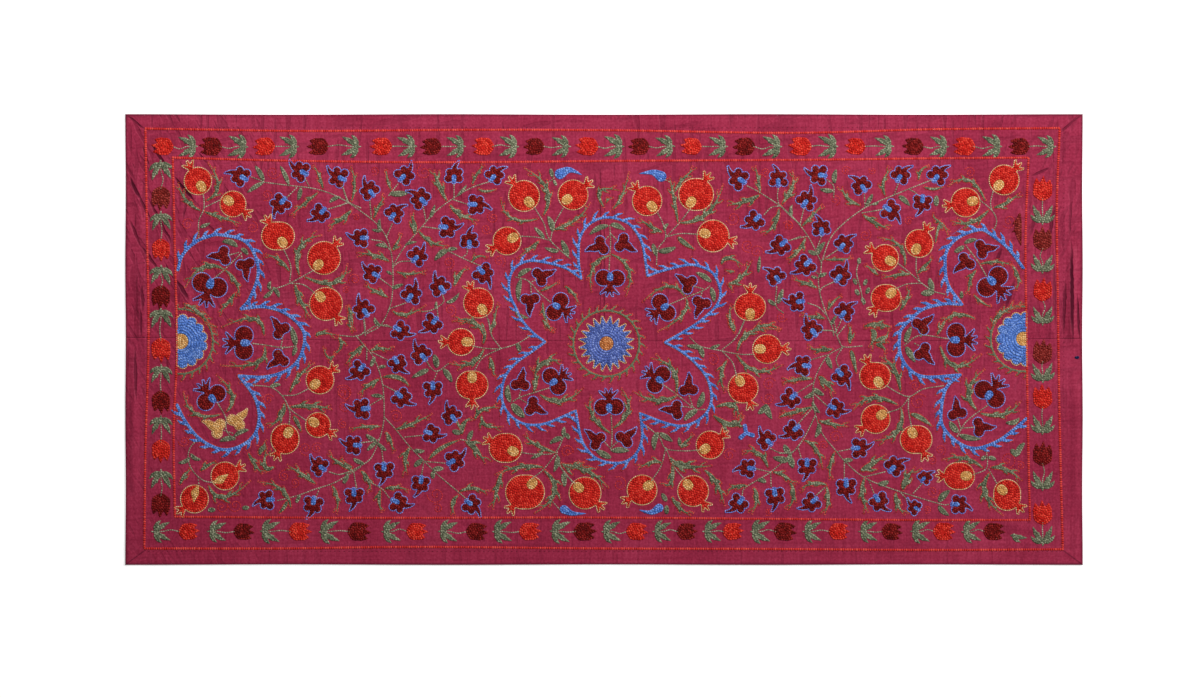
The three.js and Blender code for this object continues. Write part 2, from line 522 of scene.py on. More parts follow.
def crimson_silk():
    paint = Paint("crimson_silk")
    split = paint.add("ShaderNodeSeparateXYZ", {0: paint.place}).outputs
    inside = {axis: paint.math("SUBTRACT", half * MM, paint.math("ABSOLUTE", split[axis]))
              for axis, half in (("X", LENGTH / 2), ("Y", WIDTH / 2))}
    nearest = paint.math("MINIMUM", inside["X"], inside["Y"])

    # The dye is uneven, and thicker threads run here and there in both directions.
    dye = paint.noise((5, 6, 5), 4.0)
    grain = paint.noise((340, 300, 1))
    slubs = paint.math("ADD", paint.noise((230, 8, 1), 2.0), paint.noise((6, 250, 1), 2.0))
    mixed = paint.math("MULTIPLY", slubs, SLUB_WEIGHT)
    for noise, weight in ((dye, DYE_WEIGHT), (grain, GRAIN_WEIGHT)):
        mixed = paint.math("ADD", mixed, paint.math("MULTIPLY", noise, weight))

    # The outermost strip is darker, and creases get painted shadow where folds shade the silk.
    outer, inner = (EDGE_STRIP - EDGE_BLUR) * MM, (EDGE_STRIP + EDGE_BLUR) * MM
    strip = paint.step(nearest, inner, outer, 0.0, EDGE_DARK)
    colour = paint.mix(strip, paint.ramp(mixed, SILK_STOPS), EDGE_SHADE)
    creases = paint.math("MAXIMUM", crease_share(paint, split), streak_share(paint))
    dark = paint.math("MAXIMUM", creases, mitre_line(paint, inside))

    # The stitching draws the silk in, so it puckers inside the hem.
    field = paint.step(nearest, 0.018, 0.034)
    pucker = paint.math("MULTIPLY", paint.noise((105, 70, 1)), field)
    hollow = paint.math("MULTIPLY", pucker, PUCKER_DEPTH / CREASE_DEPTH)
    normal = paint.bump(paint.math("SUBTRACT", hollow, creases), CREASE_DEPTH)
    normal = paint.bump(weave_height(paint, slubs), WEAVE_DEPTH, WEAVE_STRENGTH, normal)
    return paint.finish({"Base Color": paint.mix(dark, colour, CREASE_SHADOW_AND_MITRE_LINE), "Normal": normal,
                         "Roughness": paint.step(dye, 0.3, 0.7, 0.46, 0.60), "Specular IOR Level": 0.09,
                         "Sheen Weight": 0.03, "Sheen Roughness": 0.35, "Sheen Tint": (1.0, 0.55, 0.70, 1)})


silk_material = crimson_silk()
print("made", silk_material.name)

# %% Embroidery floss
Floss = namedtuple("Floss", "dark middle light")
FURROW_SHADOW_SHARE = 0.9
# How much of a stitch's colour its own shade and the dye decide.
SHADE_WEIGHT, FLOSS_DYE_WEIGHT = 0.72, 0.28
LEAF_FLECK = (0.055, 0.075, 0.055)
FLOSS_STOPS = (0.22, 0.50, 0.78)


def floss_material(name, colours):
    """Silk floss: a shade for each stitch, an uneven dye, and a fine twist along the thread."""
    paint = Paint(name + "_floss")
    dye = paint.noise((190, 190, 60))
    mixed = paint.math("ADD", paint.math("MULTIPLY", paint.attribute("shade"), SHADE_WEIGHT),
                       paint.math("MULTIPLY", dye, FLOSS_DYE_WEIGHT))
    # Painted shade: full colour on the crowns of the loops, darker towards the furrows between them, where light
    # hardly reaches.
    low = paint.math("SUBTRACT", 1.0, paint.attribute("rise"))
    colour = paint.mix(low, paint.ramp(mixed, list(zip(FLOSS_STOPS, colours))),
                       [c * FURROW_SHADOW_SHARE for c in colours.dark])
    if name == "leaf_green":
        specks = paint.noise((420, 420, 200), 1.0)
        colour = paint.mix(paint.step(specks, 0.56, 0.66, 0.0, 0.65), colour, LEAF_FLECK)
    twist = paint.noise((1500, 1500, 700), 1.0)
    return paint.finish({"Base Color": colour, "Normal": paint.bump(twist, 0.1, 0.25), "Roughness": 0.46,
                         "Specular IOR Level": 0.10, "Sheen Weight": 0.02, "Sheen Roughness": 0.4})


FLOSS = {
    "scarlet": Floss((0.44, 0.008, 0.006), (0.72, 0.026, 0.016), (0.90, 0.075, 0.045)),
    "maroon": Floss((0.110, 0.003, 0.003), (0.215, 0.006, 0.006), (0.35, 0.020, 0.018)),
    "rust": Floss((0.150, 0.008, 0.006), (0.270, 0.022, 0.018), (0.40, 0.050, 0.040)),
    "blue": Floss((0.065, 0.150, 0.47), (0.130, 0.275, 0.74), (0.27, 0.43, 0.86)),
    "dusty_blue": Floss((0.065, 0.100, 0.34), (0.135, 0.205, 0.59), (0.30, 0.39, 0.80)),
    "lavender": Floss((0.14, 0.20, 0.60), (0.22, 0.29, 0.80), (0.36, 0.44, 0.90)),
    "gold": Floss((0.52, 0.25, 0.072), (0.86, 0.45, 0.145), (0.96, 0.66, 0.32)),
    "pale_gold": Floss((0.62, 0.34, 0.14), (0.83, 0.52, 0.25), (0.94, 0.70, 0.42)),
    "amber": Floss((0.42, 0.12, 0.030), (0.68, 0.26, 0.085), (0.86, 0.42, 0.18)),
    "leaf_green": Floss((0.115, 0.128, 0.076), (0.240, 0.260, 0.160), (0.42, 0.43, 0.29)),
    "stem_green": Floss((0.190, 0.180, 0.120), (0.330, 0.310, 0.215), (0.46, 0.44, 0.33)),
    "vermilion": Floss((0.52, 0.022, 0.020), (0.66, 0.040, 0.036), (0.77, 0.080, 0.065)),
    "brick": Floss((0.40, 0.030, 0.020), (0.62, 0.060, 0.040), (0.78, 0.120, 0.080)),
    # Dark crimson for the hem and seam stitches; sunk in the seam's groove, it paints the groove's shadow.
    "crimson": Floss((0.05, 0.003, 0.010), (0.08, 0.005, 0.016), (0.12, 0.008, 0.024)),
    "navy": Floss((0.008, 0.012, 0.05), (0.015, 0.022, 0.09), (0.03, 0.045, 0.14)),
}
floss = {name: floss_material(name, colours) for name, colours in FLOSS.items()}
print("made", len(floss), "floss colours")

# %% [markdown]
# ## The two loom widths
# Each loom width is one closed sheet with a top, an underside and a rounded rim. The
# columns lie closer together where a fold runs, so the ridges stay smooth. The hem is
# part of the sheet: the silk is thicker there, and at each corner the mitre shows as a low
# slanting ridge. A solidify modifier could make the thickness too, but here it changes from
# place to place, so both skins are worked out from the same height rule.

# %% Helper that turns rows of numbers into a finished piece
def make_piece(name, points, triangles, material, threads=None):
    """A mesh from points in millimetres, with a flat chart seen from above."""
    mesh = bpy.data.meshes.new(name)
    count = len(triangles)
    mesh.vertices.add(len(points))
    mesh.vertices.foreach_set("co", (np.asarray(points, float) * MM).astype(np.float32).ravel())
    mesh.loops.add(count * 3)
    mesh.loops.foreach_set("vertex_index", np.asarray(triangles, np.int32).ravel())
    mesh.polygons.add(count)
    mesh.polygons.foreach_set("loop_start", np.arange(0, count * 3, 3, dtype=np.int32))
    mesh.polygons.foreach_set("use_smooth", np.ones(count, bool))
    mesh.update(calc_edges=True)
    chart = mesh.uv_layers.new(name="OFBake")
    corners = np.asarray(points)[np.asarray(triangles).ravel()][:, :2]
    chart.data.foreach_set("uv", (corners / (LENGTH + 30) + 0.5).astype(np.float32).ravel())
    for key, values in (threads or {}).items():
        attribute = mesh.attributes.new(key, "FLOAT", "POINT")
        attribute.data.foreach_set("value", np.asarray(values, np.float32))
    mesh.materials.append(material)
    piece = bpy.data.objects.new(name, mesh)
    scene.collection.objects.link(piece)
    print(name, count, "triangles")
    return piece


# %% The sheets
SHEET_STEP = 5.5
FINE_STEP = 3.0
COARSE_STEP = 8.0
RIM = (0.0, 0.25, 0.8)
Zone = namedtuple("Zone", "start end step")
ZONES = [Zone(-718.8, -600, FINE_STEP), Zone(-600, -368, COARSE_STEP), Zone(-368, -342, FINE_STEP),
         Zone(-342, -16, COARSE_STEP), Zone(-16, 10, FINE_STEP), Zone(10, 346, COARSE_STEP),
         Zone(346, 372, FINE_STEP), Zone(372, 550, COARSE_STEP), Zone(550, 718.8, FINE_STEP)]
MITRE_HEIGHT = 0.45
MITRE_WIDTH = 2.6
# The wavy ends fade in over the outermost stretch, and a rim keeps this share of its thickness.
END_STARTS, END_STRETCH = 700, 20
LEAST_ROUND = 0.12


def seam_line(x):
    to_left = smooth_step((-x - SEAM.left_bow) / (LENGTH / 2 - SEAM.left_bow))
    to_right = smooth_step((x - SEAM.right_bow) / (LENGTH / 2 - SEAM.right_bow))
    return SEAM.middle + (SEAM.left - SEAM.middle) * to_left + (SEAM.right - SEAM.middle) * to_right


def edge_inset(along, length):
    return EDGE_WANDER * (1 - np.cos(2 * math.pi * EDGE_WAVES * (along + length / 2) / length)) / 2


def mitre(x, y):
    """The slanting ridge where the turned hems meet at a corner."""
    from_end, from_side = LENGTH / 2 - np.abs(x), WIDTH / 2 - np.abs(y)
    length = math.hypot(HEM_AT_ENDS, HEM_AT_SIDES)
    along = (from_end * HEM_AT_ENDS + from_side * HEM_AT_SIDES) / length
    across = (from_end * HEM_AT_SIDES - from_side * HEM_AT_ENDS) / length
    return MITRE_HEIGHT * np.exp(-(across / MITRE_WIDTH) ** 2) * smooth_step((length - along) / 4 + 0.5)


def sheet_columns():
    columns = []
    for zone in ZONES:
        steps = round((zone.end - zone.start) / zone.step)
        columns += list(np.linspace(zone.start, zone.end, steps, endpoint=False))
    half = LENGTH / 2
    ends = [-half + r for r in RIM]
    return np.array(ends + columns[1:] + [ZONES[-1].end] + [half - r for r in reversed(RIM)])


def loom_width(name, side):
    x0 = sheet_columns()
    steps = round(WIDTH / 2 / SHEET_STEP)
    away = np.concatenate([RIM, np.linspace(3.0, WIDTH / 2 - 3.0, steps), WIDTH / 2 - np.array(RIM[::-1])])
    share = away / (WIDTH / 2)
    station, across = np.meshgrid(x0, share)
    seam_edge = seam_line(station) + side * SEAM_GAP / 2
    outer_edge = side * (WIDTH / 2 - edge_inset(station, LENGTH))
    y = seam_edge + (outer_edge - seam_edge) * across
    end_share = smooth_step((np.abs(station) - END_STARTS) / END_STRETCH)
    x = station - np.sign(station) * edge_inset(y, WIDTH) * end_share
    thick = silk_thickness(x, y)
    rim = np.minimum(LENGTH / 2 - np.abs(station), np.minimum(across, 1 - across) * WIDTH / 2)
    round_share = np.sqrt(1 - (1 - np.clip(rim / RIM[-1], 0, 1)) ** 2)
    middle = lift(x, y) + thick / 2
    half = thick / 2 * np.maximum(round_share, LEAST_ROUND)
    top = middle + half + mitre(x, y) * round_share
    under = middle - half
    rows, columns = x.shape
    points = np.concatenate([np.stack([x, y, z], -1).reshape(-1, 3) for z in (top, under)])
    index = np.arange(rows * columns).reshape(rows, columns)
    a, b = index[:-1, :-1].ravel(), index[:-1, 1:].ravel()
    c, d = index[1:, 1:].ravel(), index[1:, :-1].ravel()
    skin = np.concatenate([np.stack([a, b, c], -1), np.stack([a, c, d], -1)])
    loop = np.concatenate([index[0, :], index[1:, -1], index[-1, -2::-1], index[-2:0:-1, 0]])
    after = np.roll(loop, -1)
    size = rows * columns
    band = np.concatenate([np.stack([loop, loop + size, after + size], -1),
                           np.stack([loop, after + size, after], -1)])
    triangles = np.concatenate([skin, skin[:, ::-1] + size, band])
    if side < 0:
        triangles = triangles[:, ::-1]
    return make_piece(name, points, triangles, silk_material)


upper_silk = loom_width("upper_loom_width", 1)
lower_silk = loom_width("lower_loom_width", -1)

# %% [markdown]
# ## From a drawing to stitches
# The maker draws each motif on the silk and fills it with chain stitch, row inside row, from
# the outline to the middle. The script does the same. A motif is drawn as a few strokes that
# swell and taper. From them comes a distance field, which says for every place how far it is
# from the edge of the motif, and its level lines are the rows of stitches. A drawn curve
# offset inwards would do for a circle, but it tangles in the forks of a leaf; a level line
# never does.

# %% Strokes
# All in millimetres: from row to row, the cells of the field, and how far out it reaches.
ROW_PITCH = 3.0
FIELD_CELL = 0.5
FIELD_REACH = 4.0
FAR = 80.0


def stroke(points, radii):
    """A line of points in mm with the half width at each."""
    points = np.atleast_2d(np.asarray(points, float))
    return points, np.broadcast_to(np.asarray(radii, float), len(points)).copy()


def smooth_line(points, steps):
    """A curve through the points (Catmull-Rom)."""
    p = np.atleast_2d(np.asarray(points, float))
    if len(p) < 3:
        return np.linspace(p[0], p[-1], steps + 1)
    padded = np.vstack([2 * p[0] - p[1], p, 2 * p[-1] - p[-2]])
    t = np.linspace(0, 1, steps, endpoint=False)[:, None]
    parts = []
    for p0, p1, p2, p3 in zip(padded, padded[1:], padded[2:], padded[3:]):
        parts.append(0.5 * (2 * p1 + (p2 - p0) * t + (2 * p0 - 5 * p1 + 4 * p2 - p3) * t ** 2
                            + (3 * p1 - p0 - 3 * p2 + p3) * t ** 3))
    return np.vstack(parts + [p[-1:]])


def bow(base, middle, tip, steps):
    """A curve from base to tip that passes through the middle point."""
    t = np.linspace(0, 1, steps)[:, None]
    base, middle, tip = (np.asarray(q, float) for q in (base, middle, tip))
    pull = 2 * middle - (base + tip) / 2
    return base * (1 - t) ** 2 + 2 * pull * t * (1 - t) + tip * t ** 2


# %% The distance field
Field = namedtuple("Field", "values x0 y0")


def empty_field(strokes):
    low = np.min([(p - r[:, None]).min(0) for p, r in strokes], 0) - FIELD_REACH
    high = np.max([(p + r[:, None]).max(0) for p, r in strokes], 0) + FIELD_REACH
    columns, rows = np.ceil((high - low) / FIELD_CELL).astype(int) + 2
    return Field(np.full((rows, columns), FIELD_REACH), low[0], low[1])


def draw_strokes(field, strokes, beyond=FIELD_REACH):
    """Lowers the field to the distance from the edge of the nearest stroke."""
    rows, columns = field.values.shape
    for points, radii in strokes:
        ends = zip(points, np.vstack([points[1:], points[-1:]]), radii, np.append(radii[1:], radii[-1]))
        for index, (a, b, ra, rb) in enumerate(ends):
            if index and index == len(points) - 1:
                break
            reach = max(ra, rb) + beyond
            i0 = max(int((min(a[0], b[0]) - reach - field.x0) / FIELD_CELL), 0)
            i1 = min(int((max(a[0], b[0]) + reach - field.x0) / FIELD_CELL) + 2, columns)
            j0 = max(int((min(a[1], b[1]) - reach - field.y0) / FIELD_CELL), 0)
            j1 = min(int((max(a[1], b[1]) + reach - field.y0) / FIELD_CELL) + 2, rows)
            if i1 <= i0 or j1 <= j0:
                continue
            x = field.x0 + np.arange(i0, i1) * FIELD_CELL
            y = (field.y0 + np.arange(j0, j1) * FIELD_CELL)[:, None]
            d = b - a
            square = float(d @ d)
            t = np.clip(((x - a[0]) * d[0] + (y - a[1]) * d[1]) / square, 0, 1) if square > 1e-9 else 0.0
            distance = np.hypot(x - a[0] - t * d[0], y - a[1] - t * d[1]) - (ra + (rb - ra) * t)
            window = field.values[j0:j1, i0:i1]
            np.minimum(window, distance, out=window)
    return field


def field_of(strokes):
    return draw_strokes(empty_field(strokes), strokes)


def cut_away(field, strokes):
    """The field without what these strokes cover."""
    spot = draw_strokes(Field(np.full_like(field.values, FAR), field.x0, field.y0), strokes, FAR)
    return Field(np.maximum(field.values, -spot.values), field.x0, field.y0)


# %% Level lines
# For each way that the corners of a cell can lie inside the line: from which side of the
# cell the line comes in, and by which it leaves. The inside stays on the left.
FEWEST_CORNERS = 6
CELL_LINES = {1: ["BL"], 2: ["RB"], 3: ["RL"], 4: ["TR"], 5: ["BL", "TR"], 6: ["TB"], 7: ["TL"],
              8: ["LT"], 9: ["BT"], 10: ["RB", "LT"], 11: ["RT"], 12: ["LR"], 13: ["BR"], 14: ["LB"]}


def level_lines(field, level):
    """Closed lines on which the field has this value."""
    v = field.values - level
    v = np.where(np.abs(v) < 1e-9, 1e-9, v)
    inside = v < 0
    case = inside[:-1, :-1] + 2 * inside[:-1, 1:] + 4 * inside[1:, 1:] + 8 * inside[1:, :-1]
    follow, place = {}, {}
    rows, columns = np.nonzero((case > 0) & (case < 15))
    for j, i, kind in zip(rows.tolist(), columns.tolist(), case[rows, columns].tolist()):
        sides = {"B": (j, i, 0), "T": (j + 1, i, 0), "L": (j, i, 1), "R": (j, i + 1, 1)}
        for line in CELL_LINES[kind]:
            follow[sides[line[0]]] = sides[line[1]]
    for j, i, upright in follow:
        a = v[j, i]
        b = v[j + 1, i] if upright else v[j, i + 1]
        t = a / (a - b)
        place[(j, i, upright)] = ((i + (0 if upright else t)) * FIELD_CELL + field.x0,
                                  (j + (t if upright else 0)) * FIELD_CELL + field.y0)
    lines = []
    while follow:
        start, here = follow.popitem()
        loop = [place[start]]
        while here != start and here in follow:
            loop.append(place[here])
            here = follow.pop(here)
        if len(loop) >= FEWEST_CORNERS:
            lines.append(np.array(loop))
    return lines


def line_length(line, closed=True):
    ends = np.vstack([line, line[:1]]) if closed else line
    return float(np.linalg.norm(np.diff(ends, axis=0), axis=1).sum())


def evenly(line, spacing, closed=True):
    """The same line with its points this far apart."""
    ends = np.vstack([line, line[:1]]) if closed else line
    run = np.concatenate([[0], np.cumsum(np.linalg.norm(np.diff(ends, axis=0), axis=1))])
    count = max(int(round(run[-1] / spacing)), 3 if closed else 1)
    at = np.linspace(0, run[-1], count + 1)
    if closed:
        at = at[:-1]
    return np.stack([np.interp(at, run, ends[:, k]) for k in (0, 1)], -1)


# %% [markdown]
# ## Filling a motif
# Under its rows each motif also gets a thin bed: the body of the stitched thread, a little
# proud of the silk, so no ground shows between the rows. Its edge is the motif's own
# outline. The bed is cut into triangles, which are smaller where a fold runs under it. Rows
# and beds are only collected here, by colour of floss, and turned into pieces at the end.

# %% Rows and beds, by colour of floss
BED_TOP = 0.42
BED_FOOT = -0.25
BED_EDGE = 2.6
BED_GRID = 6.4
BED_GRID_START = 2
BED_GRID_INSET = 1.6
BED_SPILL = 0.12
BED_RIM_SHARE = 0.55
LEAST_AREA = 1e-4
# Corners of a bed that lie closer than this are one corner.
SAME_PLACE = 1e-4
ROW_HEIGHT = BED_TOP - 0.1
SHORTEST_ROW = 2.5
OUTLINE_GAP = 0.8
THIN_GAP = 0.6
Row = namedtuple("Row", "points closed height")
rows_of = {}
beds_of = {}


def add_row(kind, points, closed=True, height=0.0):
    rows_of.setdefault(kind, []).append(Row(points, closed, height))


def field_at(field, points):
    rows, columns = field.values.shape
    i = np.clip(((points[:, 0] - field.x0) / FIELD_CELL).round().astype(int), 0, columns - 1)
    j = np.clip(((points[:, 1] - field.y0) / FIELD_CELL).round().astype(int), 0, rows - 1)
    return field.values[j, i]


def add_bed(colour, field, edges):
    edges = [evenly(line, BED_EDGE) for line in edges]
    low, high = np.min([e.min(0) for e in edges], 0), np.max([e.max(0) for e in edges], 0)
    x, y = np.meshgrid(*(np.arange(low[k] + BED_GRID_START, high[k], BED_GRID / 2) for k in (0, 1)))
    kept = on_fold(x, y)
    kept[::2, ::2] = True
    grid = np.stack([x[kept], y[kept]], -1)
    grid = grid[field_at(field, grid) < -BED_GRID_INSET] if len(grid) else grid
    corners, wires = [], []
    for line in edges:
        first = len(corners)
        corners += line.tolist()
        wires += [(first + k, first + (k + 1) % len(line)) for k in range(len(line))]
    corners += grid.tolist()
    middle = (low + high) / 2
    corners = [Vector(corner) - Vector(middle) for corner in corners]
    points, _, faces, *_ = delaunay_2d_cdt(corners, wires, [], 0, SAME_PLACE)
    flat = np.array([tuple(p) for p in points]) + middle
    faces = np.array(faces).reshape(-1, 3)
    faces = faces[field_at(field, flat[faces].mean(1)) < BED_SPILL]
    if len(faces) == 0:
        return
    a, b, c = (flat[faces[:, k]] for k in range(3))
    area = (b[:, 0] - a[:, 0]) * (c[:, 1] - a[:, 1]) - (b[:, 1] - a[:, 1]) * (c[:, 0] - a[:, 0])
    faces = faces[np.abs(area) > LEAST_AREA]
    area = area[np.abs(area) > LEAST_AREA]
    faces[area < 0] = faces[area < 0][:, ::-1]
    used, faces = np.unique(faces, return_inverse=True)
    flat, faces = flat[used], faces.reshape(-1, 3)
    sides = np.concatenate([faces[:, [0, 1]], faces[:, [1, 2]], faces[:, [2, 0]]])
    known = set(map(tuple, sides.tolist()))
    rim = np.array([s for s in known if (s[1], s[0]) not in known])
    size = len(flat)
    band = np.concatenate([np.stack([rim[:, 0], rim[:, 0] + size, rim[:, 1] + size], -1),
                           np.stack([rim[:, 0], rim[:, 1] + size, rim[:, 1]], -1)])
    on_rim = np.zeros(size, bool)
    on_rim[rim.ravel()] = True
    top = np.where(on_rim, BED_TOP * BED_RIM_SHARE, BED_TOP)
    foot = np.full(size, BED_FOOT)
    points = np.concatenate([np.column_stack([flat, top]), np.column_stack([flat, foot])])
    beds_of.setdefault(colour, []).append((points, np.concatenate([faces, faces[:, ::-1] + size, band])))


def fill(colour, field):
    """Rows of chain stitch inside the field, over a bed of the same floss."""
    edges = level_lines(field, 0.0)
    if not edges:
        return
    add_bed(colour, field, edges)
    level, lowest = ROW_PITCH / 2, -float(field.values.min())
    while level < lowest:
        for line in level_lines(field, -level):
            if line_length(line) > SHORTEST_ROW:
                add_row(colour, line, True, ROW_HEIGHT)
        level += ROW_PITCH


def outline(kind, field, gap):
    """One row round the motif, this far outside it."""
    for line in level_lines(field, gap):
        add_row(kind, line)


def fill_with_red_edge(colour, field):
    fill(colour, field)
    outline("thin_red", field, THIN_GAP)


# %% Placing a motif
def placed(strokes, at, heading, size=1.0):
    """Strokes drawn in photo pixels about their own middle, set on the cloth.
    Their +Y turns to the heading, in degrees from +X of the cloth."""
    turn = math.radians(heading - 90)
    c, s = math.cos(turn), math.sin(turn)
    at = to_cloth(at)
    scale = PIXEL * size
    return [stroke(p @ np.array([[c, s], [-s, c]]) * scale + at, r * scale) for p, r in strokes]


print("drawing helpers ready")

# %% [markdown]
# ## Border lines
# Two lines of wide chain stitch run round the cloth, and the tulips stand between them. They
# were drawn by hand, so they waver. Each line is given by the places where it turns or bends.

# %% Border lines
OUTER_LINE = [(145.5, 128.7), (300, 131), (470, 130), (620, 130.5), (790, 133), (930, 129.5),
              (1059.6, 128.2), (1056.7, 208), (1057.7, 300), (1059.4, 420), (1062.6, 549.3), (930, 550),
              (760, 549), (600, 548.5), (420, 547), (280, 548.5), (144.4, 548.5), (145.5, 450),
              (148.5, 340), (147, 230)]
INNER_LINE = [(172.8, 157.8), (300, 161), (450, 162.4), (620, 161), (800, 160), (930, 158.5),
              (1028.4, 157.8), (1025.4, 240), (1026.5, 340), (1028, 440), (1029.8, 520), (900, 520),
              (740, 518.7), (580, 517.6), (400, 518), (280, 517.6), (175, 516.8), (173.7, 430),
              (176.9, 350), (174.8, 250)]
CORNERS = (0, 6, 10, 16)


def border_line(points):
    """Smooth along each side, sharp at the four corners."""
    ring = []
    for start, end in zip(CORNERS, CORNERS[1:] + (len(points),)):
        side = points[start:end] + [points[end % len(points)]]
        ring.append(smooth_line(to_cloth(side), 10)[:-1])
    return np.vstack(ring)


outer_line, inner_line = border_line(OUTER_LINE), border_line(INNER_LINE)
add_row("border_line", outer_line)
add_row("border_line", inner_line)
print("border lines", [round(line_length(line)) for line in (outer_line, inner_line)], "mm long")

# %% [markdown]
# ## Tulip border
# Tulips in scarlet and maroon take turns round the cloth, each on a short stem with a pair of
# leaves. One tulip and one pair of leaves are drawn once, pointing up, and set down along the
# four sides.

# %% Tulips
TULIP = [stroke([(0, -3.6)], 6.4), stroke([(-2.8, -2.2)], 6.0), stroke([(2.8, -2.2)], 6.0),
         stroke([(-3.0, -1.5), (-5.0, 3.4), (-6.2, 10.8)], (6.0, 3.8, 0.25)),
         stroke([(3.0, -1.5), (5.0, 3.4), (6.4, 9.8)], (6.0, 3.8, 0.25)),
         stroke([(0, 0), (0.1, 5.8), (0.3, 12.8)], (5.0, 2.9, 0.25))]
HALF_PAIR = [stroke([(0.4, -6.5), (3.9, -2.6), (6.8, 2.0), (9.6, 8.8)], (1.3, 2.7, 2.3, 0.25)),
             stroke([(0.6, -7.0), (4.6, -6.6), (8.6, -4.6), (12.0, -0.6)], (1.4, 2.4, 2.0, 0.25)),
             stroke([(4.0, -2.0), (3.6, 3.4)], (1.8, 0.25)), stroke([(0, -11.0), (0, -6.0)], (0.4, 1.7))]
LEAF_PAIR = HALF_PAIR + [stroke(p * (-1, 1), r) for p, r in HALF_PAIR[:3]]
# A stem starts this far behind its leaves, and ends this far below the tulip's middle.
STEM_TAIL = 10.0
STEM_TOP = 9
COLOUR_LETTERS = {"s": "scarlet", "m": "maroon", "r": "rust"}
END_TULIP = 1.07
Side = namedtuple("Side", "heading step tulips leaves along colours")
# Along the top and bottom the places are x, with y given; along the ends they are y.
# The colours are scarlet, maroon and rust, by their first letters.
TULIP_SIDES = [
    Side(180, (-1, 0),
         [163.6, 211.8, 265, 319, 382, 432, 484, 535, 588, 640, 692, 745, 801, 856, 914, 965, 1020],
         [187, 237, 288, 350, 406, 455, 508, 560, 613, 664, 717, 771, 827, 883, 938, 991, 1045], 146.5,
         "smsmsmsmsmsmssmsm"),
    Side(0, (1, 0),
         [188, 243, 299, 358, 416, 476, 529, 584, 636, 686, 732, 784, 838, 891, 943, 993],
         [162, 218, 271, 330, 392, 449, 503, 561, 612, 663, 713, 761, 813, 869, 921, 972], 531.5,
         "smsmsmsmsmsmsmsm"),
    Side(-90, (0, 1), [197, 249, 296, 349, 401, 450, 504],
         [171, 222, 276, 319, 375, 426, 480], 161, "rsmsmsm"),
    Side(90, (0, -1), [190, 240, 291, 353, 398, 455, 514],
         [214, 263, 315, 372, 424, 480, 535], 1042.5, "srsrsms"),
]


def tulip_place(side, value):
    return (value, side.along) if side.step[0] else (side.along, value)


def stitch_tulips():
    vary = np.random.default_rng(11)
    for side in TULIP_SIDES:
        for tulip, leaf, letter in zip(side.tulips, side.leaves, side.colours):
            at, leaf_at = tulip_place(side, tulip), tulip_place(side, leaf)
            lean, size = vary.uniform(-6, 6), vary.uniform(0.94, 1.05)
            tulip_size = size * (1.0 if side.step[0] else END_TULIP)
            fill(COLOUR_LETTERS[letter], field_of(placed(TULIP, at, side.heading + lean, tulip_size)))
            leaf_heading = side.heading + vary.uniform(-4, 4)
            fill("leaf_green", field_of(placed(LEAF_PAIR, leaf_at, leaf_heading, size)))
            way = np.array(side.step)
            stem_top = np.array(at) - way * STEM_TOP
            bend = (stem_top + leaf_at) / 2 + way[::-1] * vary.uniform(-2.6, 2.6)
            stem = [np.array(leaf_at) - way * STEM_TAIL, leaf_at, bend, stem_top]
            add_row("stem", smooth_line(to_cloth(stem), 5), False)
        print("tulips at", side.along, ":", len(side.tulips))


stitch_tulips()
# A single leaf fills the corner at the lower right.
fill("leaf_green", field_of(placed(HALF_PAIR, (1018, 533), 20, 0.8)))

# %% [markdown]
# ## Pomegranates
# A pomegranate is a round scarlet body with a pointed crown, outlined in gold, and a gold
# spot where it joins its stem. Its rows run round and round from the rim to the middle.

# %% Pomegranates
Pomegranate = namedtuple("Pomegranate", "x y across down crown")
POMEGRANATES = [Pomegranate(*row) for row in (
    (198, 181, 13.8, 13.8, 120), (233, 204, 13, 13, -35), (278, 236, 16.5, 14, 124),
    (324, 258, 16.5, 16.5, 50), (326, 304, 16.5, 16.5, -51), (524, 196, 15.5, 15.5, 129),
    (507, 241, 14, 14, 208), (573, 195, 15, 15, 37), (647, 201, 14.8, 14.8, 131),
    (696, 194.5, 17.5, 16, 57), (713, 236, 16, 16, -17), (478.5, 303, 15, 15, 119),
    (461, 342, 13.5, 13.5, 180), (472, 385, 16, 14, -90), (750, 307, 15.5, 13.5, 90),
    (767, 349, 14.5, 14.5, 0), (743, 388, 15, 15, -65), (710, 445, 14, 14, 38),
    (505.6, 448, 16.5, 14.5, 155), (525, 492, 19.5, 17, -130), (585, 493, 16, 16, -40),
    (642, 490, 15, 15, -145), (693, 491, 15.5, 15.5, -50), (320, 380, 14, 14, 40),
    (318, 425, 12.5, 12.5, -32), (285, 439, 14, 15, -117), (225, 476, 14, 14, 30),
    (194.5, 499, 14, 14, -140), (885, 258, 13.5, 13.5, 150), (919, 243.5, 14, 14, 62),
    (886, 298, 15, 13.5, -135), (875, 376, 15.5, 13.5, 118), (875.5, 419, 14.5, 14.5, -145),
    (916, 439.5, 16, 14, -60), (959, 476, 15.5, 13.5, 180), (1007, 495, 13.5, 15.5, -45),
    (1004, 180, 15, 15, 45), (965.5, 202.5, 14.5, 14.5, 190))]
# Two have a gold leaf instead of a round spot, turned this far from the crown's way.
LEAF_SPOTS = {26: 0, 27: 35}
# The body is drawn this much smaller in each direction, to leave room for its outline.
BODY_INSET = 0.6


